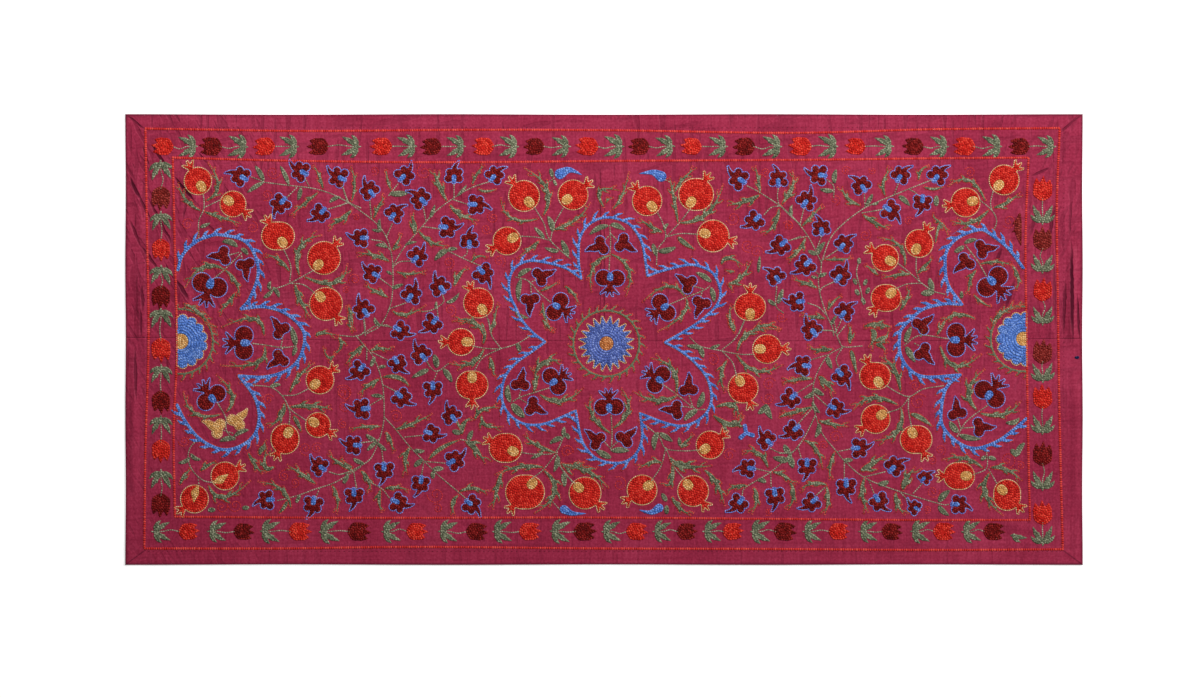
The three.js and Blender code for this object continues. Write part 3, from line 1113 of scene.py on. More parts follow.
def stitch_pomegranate(number, fruit):
    at = np.array(fruit[:2])
    small = min(fruit.across, fruit.down) - BODY_INSET
    reach = (fruit.across + fruit.down) / 2
    spare = np.array([fruit.across - BODY_INSET - small, fruit.down - BODY_INSET - small])
    body = [stroke(to_cloth([at - spare, at + spare]), small * PIXEL)]
    crown = [stroke([(0, reach - 3), (0, reach + 2.0)], (2.4, 1.8)),
             stroke([(0, reach + 1.5), (0.3, reach + 8.6)], (1.7, 0.3)),
             stroke([(-0.4, reach + 1.2), (-5.6, reach + 6.6)], (1.7, 0.3)),
             stroke([(0.4, reach + 1.2), (5.6, reach + 6.2)], (1.7, 0.3))]
    spot_shape = [stroke([(0, -reach + 6.2), (0, -reach + 8.6)], 4.8)]
    if number in LEAF_SPOTS:
        spot_shape = [stroke([(0, -reach + 1), (1.0, -reach + 8), (0, -reach + 18)], (1.2, 4.2, 0.3))]
    spot = placed(spot_shape, at, fruit.crown + LEAF_SPOTS.get(number, 0))
    whole = field_of(body + placed(crown, at, fruit.crown))
    fill("scarlet", cut_away(whole, spot))
    fill("gold", field_of(spot))
    outline("gold_edge", whole, OUTLINE_GAP)


for number, fruit in enumerate(POMEGRANATES):
    stitch_pomegranate(number, fruit)
print(len(POMEGRANATES), "pomegranates")

# %% [markdown]
# ## Star flowers
# A star flower has four round petals and a long curved one, all in maroon with a lavender
# outline, and a blue eye where its stem comes in. The long petals point every way, and two
# flowers in a corner are small.

# %% Star flowers
EYE = [stroke([(0, -6.4), (0, -2.2)], (2.2, 2.7))]
PETALS = [(-5.3, 3.0, 3.2), (5.3, 3.3, 3.2), (-6.0, -3.9, 3.7), (5.9, -4.1, 3.6)]
SMALL_SHARE = 0.72
Flower = namedtuple("Flower", "x y heading")
POINTS = {"right": 0, "up-right": 50, "right-up": 25, "up": 90, "up-left": 130, "left-up": 150, "left": 180,
          "down-left": 228, "left-down": 205, "down": 270, "down-right": 308, "right-down": 330}
STAR_FLOWERS = """
240 176 left-up, 300 171 left-up, 338 177 left-up, 280 204 down-left, 320 214 down-left, 369 190 up-left,
405 175 up-right, 454 175 up, 495 175 up-right, 420 198 up-left, 395 213 up-right, 477 204.5 right,
448 227.5 right, 360 238 left, 469 240 up, 418 256 up-right, 372 273 left-up, 484 274 down-right,
412 294 up-right, 439.5 286 up-left, 363 309 up-left, 401 331 right-down, 432 324 down-left,
319 466 left-up, 266 500 left, 313 505 down, 420.5 354 up-left, 398 364 down-right, 359 371 down-left,
433 390 down, 402 398 down-right, 361 409 left, 451 415 up-left, 432 434 right-down, 353 445 left,
384 471 down, 455 460 right-up, 420.5 484 down, 354 496.5 down, 399 503 right-down, 472 505 right-down,
738 178.5 left-up, 778 178.5 up, 754 221 down-left, 780 246 down-left, 775 276 up-left, 796 302 left,
818 175 left, 861 185 up-left, 901 175 up-right, 938 175 up-right, 807 200 up-right, 891 211 right-down,
922 203 down, 821 227.5 up, 844 243.5 up-right, 804.5 266 down-left, 841 275 up-right, 845 311 up-right,
811 329 up-left, 802 365.5 left, 842.6 376 down-right, 790 399 down-left, 836 409 right-down,
793 431 down-left, 766 439.5 up-left, 747 468 left, 738 504 down-left, 775 496.5 down, 860 448 right,
807 467 down, 895 466 up-right, 846 487.5 down, 925 477 up-right small, 811 503 down-left,
879 502 down-right, 914 507 left-up small, 959 504.6 right
"""


def stitch_star_flower(flower, vary, bend, share):
    star = [stroke([(x + vary.uniform(-0.5, 0.5), y + vary.uniform(-0.5, 0.5))], r) for x, y, r in PETALS]
    star += [stroke([(0, -0.8)], 4.9),
             stroke([(0, 3), (0.3 * bend, 7.0), (1.9 * bend, 10.6), (5.0 * bend, 14.2)],
                    (3.2, 2.2, 1.3, 0.25))]
    size = vary.uniform(0.93, 1.05) * share
    heading = flower.heading + vary.uniform(-8, 8)
    petals = field_of(placed(star, flower[:2], heading, size))
    eye = placed(EYE, flower[:2], heading, size)
    whole = draw_strokes(Field(petals.values.copy(), petals.x0, petals.y0), eye)
    fill("maroon", cut_away(petals, eye))
    fill("blue", field_of(eye))
    outline("lavender_edge", whole, OUTLINE_GAP)


def stitch_star_flowers():
    vary = np.random.default_rng(23)
    words = [entry.split() for entry in STAR_FLOWERS.replace("\n", " ").split(",")]
    for number, (x, y, points, *small) in enumerate(words):
        flower = Flower(float(x), float(y), POINTS[points])
        stitch_star_flower(flower, vary, 1 if number % 3 else -1, SMALL_SHARE if small else 1.0)
    print(len(words), "star flowers")


stitch_star_flowers()

# %% [markdown]
# ## Medallions
# The middle medallion has six lobes closed by a thorny blue vine, and half a medallion lies
# at each end. In the middle of each is a rosette of blue petals round a gold heart, inside a
# thorny green wreath. Each lobe holds two trefoils and one double fruit on a forked stem.

# %% Vines and wreaths
Vine = namedtuple("Vine", "half_width spacing thorn lean breadth")
MIDDLE_VINE = Vine(2.1, 16.0, 15.5, 1.2, 2.1 * 0.062)
END_VINE = Vine(2.5, 16.0, 15.5, 1.2, 2.5 * 0.062)
WREATH = Vine(1.5, 11.6, 14.5, 0.55, 0.08)
VINE_STEP = 3.0
THORN_SIZES = (1.0, 0.78, 0.9)
# A thorn's bend, and its tip from there, along the vine and out from it, in sizes of a thorn.
THORN_BEND, THORN_TIP, THORN_ROOT = (0.34, 0.46), (0.46, 0.22), 0.1


def thorny(path, kind, side, closed=False):
    """A vine along the path, with thorns that lean forwards, all on one side."""
    line = evenly(path, VINE_STEP, closed)
    vine = [stroke(np.vstack([line, line[:1]]) if closed else line, kind.half_width)]
    marks = evenly(path, kind.spacing, closed)
    ahead = np.roll(marks, -1, 0) - np.roll(marks, 1, 0)
    if not closed:
        ahead[0], ahead[-1] = marks[1] - marks[0], marks[-1] - marks[-2]
    ahead /= np.linalg.norm(ahead, axis=1)[:, None]
    for number, (at, way) in enumerate(zip(marks, ahead)):
        if not closed and number in (0, len(marks) - 1):
            continue
        out = np.array([-way[1], way[0]]) * side
        size = kind.thorn * THORN_SIZES[number % 3]
        bend = at + size * (THORN_BEND[0] * kind.lean * way + THORN_BEND[1] * out)
        tip = bend + size * (THORN_TIP[0] * kind.lean * way + THORN_TIP[1] * out)
        widths = (kind.half_width, kind.thorn * kind.breadth, 0.25)
        vine.append(stroke([at - THORN_ROOT * size * way, bend, tip], widths))
    return vine


# The six lobes of the middle medallion, each from cusp to cusp.
MIDDLE_VINES = [
    [(665, 342.5), (690, 328), (704, 318), (716, 306), (720.5, 295), (718.5, 284), (713, 273.5),
     (701.5, 267), (687.5, 265), (660, 271.5), (647.5, 276)],
    [(581, 278.5), (578.5, 262), (579, 242), (584, 229.5), (594, 221), (606, 217.5), (617.5, 219),
     (629, 224), (637.5, 234), (643, 247), (647.5, 276)],
    [(545, 342), (533, 333), (522, 320.5), (515, 306.5), (510, 295.5), (509, 281.5), (513, 270),
     (522, 263), (536, 261), (564, 267.5), (581, 278.5)],
    [(545, 342), (532, 351.5), (516.5, 362.5), (506.5, 374), (502, 388), (502.5, 402), (508, 413),
     (518, 421.5), (530.5, 425), (547.5, 423), (575.5, 411)],
    [(640, 413.5), (641.5, 424.5), (642, 438.5), (637, 452.5), (626, 461.5), (612, 463), (598, 459.5),
     (588, 451), (581, 438.5), (575.5, 411)],
    [(665, 342.5), (679, 350), (693, 361), (704.5, 374), (709.5, 385), (711.5, 399), (707, 412),
     (696, 421.5), (682, 426), (665, 423), (640, 413.5)]]
LEFT_VINES = [
    [(178, 270), (182, 256), (193.5, 243.5), (207, 237), (221, 235), (247, 243), (258.5, 270), (250, 298),
     (241, 309)],
    [(241, 309), (265, 307), (288, 315), (304, 333), (300.5, 356), (287.5, 370), (265, 377), (239, 376)],
    [(239, 376), (255, 398), (259, 421), (250, 440), (226, 450), (201, 440), (185, 421), (177, 405)]]
RIGHT_VINES = [
    [(1023, 268), (1008.5, 249), (988, 232.6), (978, 230), (959, 237), (947, 250), (945, 266), (948, 285),
     (961.6, 304.5)],
    [(961.6, 304.5), (944, 304), (923.5, 309), (912, 318), (901.5, 329), (899.5, 336), (900, 354),
     (910, 370), (926, 377), (960, 375)],
    [(960, 375), (946, 388), (941, 411), (943, 427), (957, 442), (975, 448.5), (996, 442), (1012, 431),
     (1026, 419)]]


def outward(path, centre):
    """Which side of the path looks away from the medallion's middle: 1 is its left."""
    mid = len(path) // 2
    way, away = path[mid + 1] - path[mid - 1], path[mid] - centre
    return 1 if way[0] * away[1] - way[1] * away[0] > 0 else -1


for drawn, centre, kind in ((MIDDLE_VINES, (606, 343), MIDDLE_VINE), (LEFT_VINES, (180, 341), END_VINE),
                            (RIGHT_VINES, (1023, 339), END_VINE)):
    for points in drawn:
        path = smooth_line(to_cloth(points), 8)
        side = outward(path, to_cloth(centre))
        fill_with_red_edge("blue", field_of(thorny(path, kind, side)))
    print("vines:", len(drawn))

# %% Rosettes
Rosette = namedtuple("Rosette", "x y petals petal_reach heart wreath round_petals")
ROSETTES = [Rosette(606.3, 343.6, 20, 27, 7.2, 33, False),
            Rosette(180.5, 341.5, 15, 27, 8.0, 32.5, True),
            Rosette(1023, 339, 15, 27, 7.3, 32.5, True)]
END_LINES = {1: 176.5, 2: 1027.0}
END_MARGIN = 1.2
RADIAL_ROWS = 80
RADIAL_STEP = 1.5
RADIAL_INSET = 0.9
SHORT_ROW_STARTS = 0.45


def kept_inside(field, number):
    """The part of a field on the inner side of the border line, for the half medallions."""
    if number not in END_LINES:
        return field
    limit = to_cloth((END_LINES[number], 0))[0]
    x = field.x0 + np.arange(field.values.shape[1]) * FIELD_CELL
    beyond = (limit - x) if number == 1 else (x - limit)
    return Field(np.maximum(field.values, beyond[None, :] + END_MARGIN), field.x0, field.y0)


def radial_rows(kind, at, inner, outer, field):
    """Rows that run out from the heart, every other one only in the outer half."""
    steps = np.arange(0, outer - inner, RADIAL_STEP)
    for number in range(RADIAL_ROWS):
        angle = 2 * math.pi * number / RADIAL_ROWS
        reach = inner + steps if number % 2 else inner + (outer - inner) * SHORT_ROW_STARTS + steps
        line = to_cloth(at) + reach[:, None] * (math.cos(angle), math.sin(angle))
        line = line[field_at(field, line) < -RADIAL_INSET]
        if len(line) > 2:
            add_row(kind, line, False, ROW_HEIGHT)


def stitch_rosette(number, rosette):
    angles = 2 * math.pi * (np.arange(rosette.petals) + 0.5) / rosette.petals
    reach = rosette.petal_reach
    petals = []
    for angle in angles:
        way = np.array([math.cos(angle), math.sin(angle)])
        if rosette.round_petals:
            petals.append(stroke([way * 9, way * (reach - 4.8)], (2.0, 4.6)))
        else:
            petals.append(stroke([way * 9, way * 18.5, way * reach], (2.0, 3.2, 0.3)))
    petals.append(stroke([(0, 0)], reach - 8.5))
    at = rosette[:2]
    flower = kept_inside(field_of(placed(petals, at, 90)), number)
    heart = placed([stroke([(0, 0)], rosette.heart)], at, 90)
    body = cut_away(flower, heart)
    petal_floss, heart_floss = ("blue", "gold") if rosette.round_petals else ("dusty_blue", "amber")
    add_bed(petal_floss, body, level_lines(body, 0.0))
    radial_rows(petal_floss, at, (rosette.heart + 0.9) * PIXEL, reach * PIXEL, body)
    outline("gold_edge", flower, OUTLINE_GAP)
    fill(heart_floss, kept_inside(field_of(heart), number))
    turn = np.linspace(2 * math.pi, 0, 90, endpoint=False)
    path = to_cloth(at) + np.stack([np.cos(turn), np.sin(turn)], -1) * rosette.wreath * PIXEL
    fill_with_red_edge("leaf_green", kept_inside(field_of(thorny(path, WREATH, 1, True)), number))


for number, rosette in enumerate(ROSETTES):
    stitch_rosette(number, rosette)
print(len(ROSETTES), "rosettes")

# %% Trefoils and double fruits
TREFOIL = [stroke([(-4.1, -4.8)], 4.1), stroke([(4.1, -4.2)], 4.1), stroke([(0, -3.6)], 4.0),
           stroke([(0, -3), (0, 2), (0.8, 5.8), (0.2, 10.6)], (3.6, 3.0, 2.1, 0.3))]
FRUIT = [stroke([(-6.4, -0.8)], 7.3), stroke([(6.4, -0.8)], 7.3), stroke([(0, 0)], 5.0)]
FRUIT.append(stroke([(0, 4), (0, 9.4)], (2.5, 2.3)))
CROWN_REACH = 16.4
for turn in (-31, -10, 10, 31):
    tip = (CROWN_REACH * math.sin(math.radians(turn)), CROWN_REACH * math.cos(math.radians(turn)))
    FRUIT.append(stroke([(0.04 * turn, 8.4), tip], (1.8, 0.3)))
FRUIT_EYE = [stroke([(0, -3.4), (0, -0.8)], (2.8, 3.2))]
# The middle of each lobe's fruit and trefoils, by lobe of its medallion: x, y, heading.
MIDDLE_FRUITS = [(610, 279, 268), (663, 308, 215), (658, 379, 145), (609, 406, 92), (555, 381, 35),
                 (558, 307, -30)]
MIDDLE_TREFOILS = [(597, 247, 200), (626, 245, -30), (685.5, 282, 145), (700, 307, 250), (688.5, 385, 90),
                   (672, 410, 180), (594, 438, 140), (627.5, 436, 45), (521, 380, 80), (536, 408, -25),
                   (544, 275, 25), (530, 304, -90)]
END_FRUITS = [(209.5, 286, 252, 1.28), (243, 343, 180, 1.2), (211, 397, 126, 1.12),
              (993, 282.5, -46, 1.26), (957, 340, 0, 1.2), (990, 393.5, 54, 1.2)]
END_TREFOILS = [(219.5, 256, 185), (246, 269, 278), (278.5, 327, 128), (277, 361, 218), (986, 248.5, 10),
                (963, 264.5, 222), (924, 323, 42), (925.5, 355, -46), (956.5, 409, 98), (983.5, 427, 2)]
GOLD_TREFOILS = [(214, 426.5, 156), (239, 418.5, 50)]
TREFOIL_SIZE = 1.14


def stitch_trefoil(x, y, heading, colour="maroon", edge="lavender_edge"):
    field = field_of(placed(TREFOIL, (x, y), heading, TREFOIL_SIZE))
    fill(colour, field)
    outline(edge, field, OUTLINE_GAP)


def stitch_fruit(x, y, heading, size=1.05):
    body = field_of(placed(FRUIT, (x, y), heading, size))
    eye = placed(FRUIT_EYE, (x, y), heading, size)
    fill("maroon", cut_away(body, eye))
    fill("blue", field_of(eye))
    outline("lavender_edge", body, OUTLINE_GAP)


for place in MIDDLE_FRUITS + END_FRUITS:
    stitch_fruit(*place)
for place in MIDDLE_TREFOILS + END_TREFOILS:
    stitch_trefoil(*place)
for place in GOLD_TREFOILS:
    stitch_trefoil(*place, "gold", "gold_edge")
print(len(MIDDLE_FRUITS + END_FRUITS), "double fruits")

# %% Paisleys and single pieces
# Each starts at its round end and tapers from this radius.
PAISLEYS = [([(560, 174), (569.5, 170), (582, 175)], 5.4),
            ([(661, 176.5), (653, 172.5), (639, 173.7)], 5.4),
            ([(564, 509.5), (572.5, 513.5), (586, 513.5)], 4.4),
            ([(659, 508), (651, 512.5), (639, 510)], 4.4)]
for points, radius in PAISLEYS:
    fill("blue", field_of([stroke(smooth_line(to_cloth(points), 5), np.linspace(radius, 0.3, 11) * PIXEL)]))
RUST_LEAF = [(1019.5, 213), (1018, 230), (1021, 246)]
RUST_LEAF_WIDTHS = np.array([0.5, 2.0, 3.2, 3.6, 3.6, 3.2, 2.4, 1.4, 0.3])
rust_leaf = [stroke(smooth_line(to_cloth(RUST_LEAF), 4), RUST_LEAF_WIDTHS * PIXEL)]
rust_leaf += [stroke(to_cloth([(1017, y), (1011.5, y + 3.5)]), (3.0, 0.3)) for y in (221, 229)]
fill("rust", field_of(rust_leaf))
SPRIG = [stroke([(0, 0)], 2.4)] + [stroke([(0, 0), (7 * math.cos(a), 7 * math.sin(a))], (1.6, 2.4))
                                   for a in np.radians([90, 210, 330])]
fill("blue", field_of(placed(SPRIG, (746, 433), 100)))
print(len(PAISLEYS), "paisleys")

# %% [markdown]
# ## Leaves, stems and curls
# Between the motifs run thin stems with two kinds of leaf. A plain leaf swells and tapers. A
# thorny leaf is a curved blade with short barbs, edged in red. Small red curls fill the
# corners. They were drawn freehand, so each is placed one by one here too. The cloth is charted
# in ten sheets, each with its own corner and enlargement; a line of a sheet gives the kind
# of leaf (p plain, r plain with a red edge, t thorny), its base, middle and tip, and its
# width.

# %% Charts
Sheet = namedtuple("Sheet", "x y enlargement")
SHEETS = {"A": Sheet(0, 0, 1), "B": Sheet(340, 105, 6.533), "C": Sheet(560, 105, 6.533),
          "D": Sheet(780, 105, 6.533), "E": Sheet(900, 105, 6.816), "F": Sheet(120, 320, 6.15),
          "G": Sheet(340, 320, 6.15), "H": Sheet(560, 320, 6.15), "I": Sheet(780, 320, 6.15),
          "J": Sheet(900, 320, 6.147)}


def on_sheet(name, numbers):
    sheet = SHEETS[name]
    pairs = np.array(numbers, float).reshape(-1, 2)
    return to_cloth(pairs / sheet.enlargement + (sheet.x, sheet.y))


def entries(chart):
    """The sheet and the words of each entry of a chart; entries end with a comma."""
    for name, text in chart.items():
        for entry in text.replace("\n", " ").split(","):
            if entry.strip():
                yield name, entry.split()


# %% Leaves
LEAVES = {
    "A": """
t 206.5 200.7 218 186 208 162.4 4, t 200.4 210.6 185.8 200 178.2 183 4.2, t 205 212 221 217.5 241 223.6 4,
p 199.6 227.5 205 225.5 210.3 222.9 4, p 263.9 181.5 260 173 254.7 165.5 5,
p 263.9 182.3 255 187 247 193 5, p 289.1 185.4 285 175 280 165.5 5,
t 322.8 188.4 319.5 177 313.6 164.7 3.6, p 300.6 187.7 299.8 194 297.6 200.7 4.5,
t 317.5 193 304 204 290 216 3.6, p 340.4 196.8 334 199 329 203 4.5, t 351.1 210.6 340 220 328.2 225.9 5,
t 299.1 274.9 299.9 247.4 322 235.1 5, t 289.1 271.1 279 260 265.4 254.2 4,
t 305.2 277.2 335 283 347.3 264.2 5, p 273 290 268 295 263 298 4.5, p 272 287 277 292 279 298 4.5,
p 271 290 269 286 271 281 4, t 295.3 284.9 300 300 311.3 318.5 5, t 348 305.5 351.5 318 352 331.5 3.5,
p 237.9 247.4 230 242 221.8 242 6, p 241 249 245 251 247.8 255.8 5, t 224 269.5 202.7 267.3 185 288 4.5,
t 225.6 270.3 236 282.6 239.4 296.3 4.5, t 234.8 293.3 227 304 218 312.4 4,
t 184.3 304 199.6 313.2 214.9 331.5 4, t 263.9 334.6 253.2 318.5 221 327.7 4.5
""",
    "B": """
t 75 630 95 510 70 400 20, t 335 555 310 490 305 420 18, p 320 580 385 580 450 575 40,
t 220 740 255 660 295 600 25, t 695 625 640 510 615 430 35, t 865 520 895 450 945 395 20,
r 900 545 950 565 1020 550 18, p 760 600 800 560 828 520 22, t 720 655 790 720 905 755 30,
t 485 840 485 780 460 715 35, p 585 740 605 700 620 650 25, t 345 950 370 910 405 840 25,
p 420 920 460 900 505 895 20, t 515 825 600 900 710 920 28, p 705 950 660 970 615 1020 40,
p 700 945 735 940 770 940 28, t 860 1030 900 990 965 995 20, t 745 1180 780 1110 825 1060 35,
p 270 830 255 790 262 740 25, p 265 830 235 820 205 815 20, p 310 935 270 915 230 920 28,
t 320 1020 230 985 110 965 30, t 370 1090 460 1105 565 1080 22, t 310 1255 240 1220 160 1180 28,
p 345 1200 375 1185 415 1170 28, p 340 1110 320 1095 300 1085 20, t 345 1345 430 1370 560 1310 25,
p 690 1290 740 1275 780 1225 28, p 625 1330 628 1305 630 1280 20, t 80 1490 60 1400 55 1310 20,
p 265 1440 235 1420 225 1385 28, t 1290 745 1120 740 1050 610 22, t 1330 720 1350 550 1200 410 30,
p 1390 475 1380 440 1375 415 28, p 1395 490 1405 510 1415 530 22, p 1390 830 1380 775 1355 725 40,
p 1335 875 1305 835 1265 798 32, t 1300 890 1240 940 1160 1000 25, p 1430 955 1385 950 1335 930 30,
p 1490 995 1470 935 1445 880 40, t 1400 815 1480 785 1568 740 30, t 985 1490 1010 1390 1030 1290 18,
t 940 1500 860 1410 735 1415 28, p 1165 1125 1200 1090 1255 1070 35, p 1185 1135 1165 1210 1170 1290 35,
t 1310 1215 1370 1190 1430 1150 18, t 1470 1185 1520 1230 1568 1310 22,
t 1325 1290 1340 1390 1400 1490 22, p 1145 1345 1180 1380 1235 1390 28
""",
    "C": """
t 0 785 110 745 195 640 22, t 285 665 262 560 395 560 26, t 300 640 316 618 335 605 14,
t 345 680 405 590 450 440 22, t 770 770 740 590 715 470 26, t 745 575 800 490 890 410 24,
t 665 830 600 800 515 740 30, p 680 825 690 790 712 778 24, t 785 770 960 710 1065 520 30,
r 770 860 810 900 880 945 32, p 632 990 615 940 605 905 32, p 640 955 700 950 758 928 38,
t 1095 1170 1180 1130 1250 1020 30, t 1055 1040 1100 1000 1200 1050 32,
t 1140 1090 1110 1085 1085 1085 16, t 1100 1170 1112 1190 1130 1210 16, p 1295 1100 1300 1040 1305 985 25,
t 1305 575 1295 490 1275 400 26, t 1300 590 1210 630 1095 655 36, t 1450 650 1500 560 1545 480 26,
t 1430 680 1400 780 1330 850 30, p 1515 730 1505 690 1520 650 20, r 1568 935 1530 980 1478 1005 26,
p 1410 1310 1380 1290 1355 1270 28, p 1420 1300 1440 1250 1455 1200 36,
t 1140 1485 1110 1400 1115 1300 26, t 1250 1485 1340 1440 1445 1465 24, p 320 790 250 805 190 850 36,
p 328 785 375 790 428 822 36, t 320 985 215 1060 205 1220 26, t 335 975 450 1080 430 1250 26,
p 990 1160 940 1120 885 1095 38, p 985 1190 1000 1240 1005 1290 34, t 815 1250 700 1185 535 1290 24,
t 825 1265 800 1370 640 1480 24
""",
    "D": """
t 15 640 80 540 80 430 28, p 355 515 355 465 368 420 36, p 350 560 305 560 258 548 32,
t 520 655 440 610 405 535 30, t 685 590 675 500 730 410 24, t 905 490 920 430 970 395 20,
p 560 660 585 620 605 580 28, p 600 650 625 645 645 635 20, r 940 535 1000 550 1065 535 18,
p 775 598 810 620 850 662 36, p 1020 660 1020 625 1022 590 36, t 545 720 620 770 710 810 32,
t 145 790 210 725 275 650 24, p 75 730 70 690 75 655 26, t 165 870 120 950 45 1005 30,
p 248 980 265 930 297 895 34, p 240 975 210 965 180 950 30, t 295 1010 390 1010 475 1000 20,
p 250 1120 280 1110 305 1095 26, p 245 1130 220 1125 200 1120 22, t 240 1195 170 1165 80 1140 28,
t 310 1340 345 1290 400 1240 24, t 290 1395 230 1385 130 1380 26, p 335 1440 345 1410 375 1370 22,
p 515 1000 516 1020 517 1042 28, p 480 1135 490 1155 498 1178 28, p 565 1138 556 1160 546 1182 28,
p 495 1206 504 1225 516 1246 28, p 582 1194 572 1215 560 1236 28, p 535 1262 544 1282 556 1302 28,
t 850 1105 770 1110 660 1135 28, t 640 1110 600 1080 560 1040 22, t 815 1050 780 920 640 865 24,
t 900 1100 950 1050 1000 1000 28, p 1000 1215 985 1170 975 1130 40, p 1010 1220 960 1228 920 1232 44,
t 785 1340 825 1270 850 1195 28, t 1015 900 1050 775 1100 860 24, t 1060 780 1020 750 995 720 20,
t 1360 690 1240 770 1115 755 30, t 1340 625 1230 490 1095 535 24, t 1400 670 1480 640 1568 570 28,
p 1200 905 1245 885 1290 880 30, p 1200 920 1170 945 1135 960 36, t 1280 1080 1240 1150 1235 1240 26,
t 1265 1240 1320 1290 1380 1320 20, p 1185 1265 1185 1240 1185 1215 26,
t 1270 1395 1130 1375 1035 1470 28, t 720 1450 640 1440 550 1440 24
""",
    "E": "t 545 1085 660 1070 765 1095 22, t 760 1090 805 1180 790 1265 26, "
         "t 630 1500 700 1410 860 1350 26",
    "F": """
p 1080 160 1070 100 1050 35 40, p 1080 165 1075 190 1060 225 30, t 890 165 840 265 620 280 28,
t 655 565 690 460 590 335 26, t 615 582 460 575 390 440 24, p 695 720 750 685 795 678 30,
p 715 730 660 730 610 748 34, t 1210 100 1240 80 1340 95 26, t 1345 105 1360 160 1320 215 24,
t 1320 215 1280 230 1250 165 22, p 925 412 955 400 990 400 28, t 1045 445 1105 340 1195 265 26,
t 1050 535 1180 530 1305 550 30, t 1010 515 990 590 910 665 34, r 1065 590 1090 630 1115 690 26,
t 790 820 830 890 875 945 26, t 945 905 890 900 905 780 36, t 860 830 870 790 900 765 30,
t 495 925 540 895 590 868 26, t 370 1010 400 950 432 928 26, p 435 820 460 850 500 858 28,
p 430 845 400 870 355 880 26, t 545 1020 640 1090 800 990 30, p 543 1168 565 1168 587 1168 30,
p 754 1155 775 1155 796 1155 30, t 1200 1005 1120 950 1030 893 30, t 1050 1150 990 1040 850 995 26,
r 1030 1110 1010 1150 975 1190 22, p 1085 1125 1095 1100 1110 1075 24, t 1435 930 1350 880 1275 828 28,
t 1305 1020 1335 1090 1335 1190 24, p 1375 1005 1390 975 1400 940 28
""",
    "G": """
t 150 155 95 200 35 275 30, t 185 190 250 175 325 188 26, p 215 225 200 260 190 290 26,
p 240 290 262 287 285 285 24, r 260 352 360 355 425 410 26, t 240 365 180 400 115 455 30,
p 265 470 225 465 188 465 26, t 345 672 440 640 565 578 26, t 245 655 160 658 55 668 24,
t 280 690 310 740 325 815 26, p 225 740 185 725 160 700 28, p 230 745 195 775 165 805 28,
p 230 755 260 785 287 803 26, t 75 905 40 890 0 850 24, p 150 885 110 870 80 850 28,
p 50 955 35 980 15 1005 28, t 130 930 170 980 190 1055 28, t 275 1040 340 1030 430 1045 24,
t 248 1045 240 1110 255 1180 28, p 595 295 590 250 575 212 42, p 545 305 500 325 438 357 36,
p 635 300 665 340 690 385 40, t 885 180 800 270 670 265 30, t 880 145 860 40 690 8 28,
p 930 50 945 30 960 10 28, t 920 230 940 290 942 345 28, p 1085 150 1100 170 1100 200 30,
t 830 610 880 550 985 540 28, t 870 590 900 650 1000 655 30, t 750 700 760 640 805 600 36,
p 745 695 715 690 690 680 32, p 790 745 800 710 818 678 32, t 775 750 830 790 895 885 40,
r 545 860 620 790 735 738 26, t 430 785 400 860 415 950 30, p 455 795 490 808 522 803 26,
p 510 860 480 880 455 905 36, p 570 920 605 915 640 915 32, p 575 930 570 955 575 975 30,
t 735 1055 830 1035 905 1075 26, t 725 1080 690 1130 705 1200 28, t 1245 905 1100 905 955 950 30,
t 995 935 965 1040 938 1165 30, t 1258 928 1320 1060 1195 1190 34, t 1320 815 1210 770 1130 708 28,
p 1250 815 1210 835 1170 855 26, p 1380 720 1375 690 1380 655 30, p 1370 725 1330 735 1285 762 34,
p 1385 700 1400 715 1410 735 30, p 1338 835 1335 880 1312 938 36, t 1365 885 1430 905 1500 875 36,
p 1368 940 1378 985 1378 1030 36, p 1050 510 1030 450 1035 398 36, p 1055 515 1095 560 1135 600 50,
t 1190 440 1205 370 1190 285 26, t 1200 330 1260 260 1365 250 36, t 1230 460 1360 500 1495 420 30,
t 1245 0 1280 40 1300 75 22
""",
    "H": """
t 715 445 690 300 555 235 30, t 715 468 590 495 450 440 30, p 845 540 870 490 880 440 40,
p 845 555 800 580 760 622 38, t 308 695 200 590 190 465 28, t 330 665 420 550 375 420 28,
p 315 805 370 800 428 805 40, p 315 848 265 825 215 798 40, p 605 690 580 740 580 805 40,
p 610 695 650 720 695 748 36, t 745 785 770 755 825 705 26, p 740 780 735 750 730 720 24,
t 625 880 560 875 480 918 26, t 680 850 760 900 935 895 40, t 890 925 965 1010 1010 1140 32,
t 690 880 685 990 640 1020 30, t 690 1090 730 1150 805 1205 28, p 655 1115 640 1090 625 1065 30,
p 655 1140 655 1170 655 1195 32, t 20 890 170 930 300 1035 34, p 880 175 830 165 775 158 32,
p 855 165 870 195 882 235 36, p 920 175 955 165 985 150 22, t 1085 215 1210 315 1370 275 28,
t 1090 190 1170 75 1355 60 28, t 1025 250 990 340 1010 445 28, t 1070 70 1060 30 1025 -10 30,
t 960 535 1070 525 1090 610 32, t 945 590 1060 645 1130 590 36, p 1265 520 1275 560 1305 612 40,
p 1262 525 1245 555 1215 575 36, t 1476 365 1420 375 1370 385 22, r 1476 570 1410 575 1345 600 24,
t 1278 905 1220 820 1120 808 30, p 1405 825 1385 795 1380 762 26, p 1395 850 1350 855 1308 842 36,
p 1415 840 1428 875 1430 915 32, p 1265 1000 1240 985 1210 985 30, t 1310 935 1380 960 1450 1020 26,
t 1415 1000 1435 1080 1400 1170 26, t 1150 1020 1080 1025 1020 1055 24, t 1190 1035 1210 1100 1180 1190 30
""",
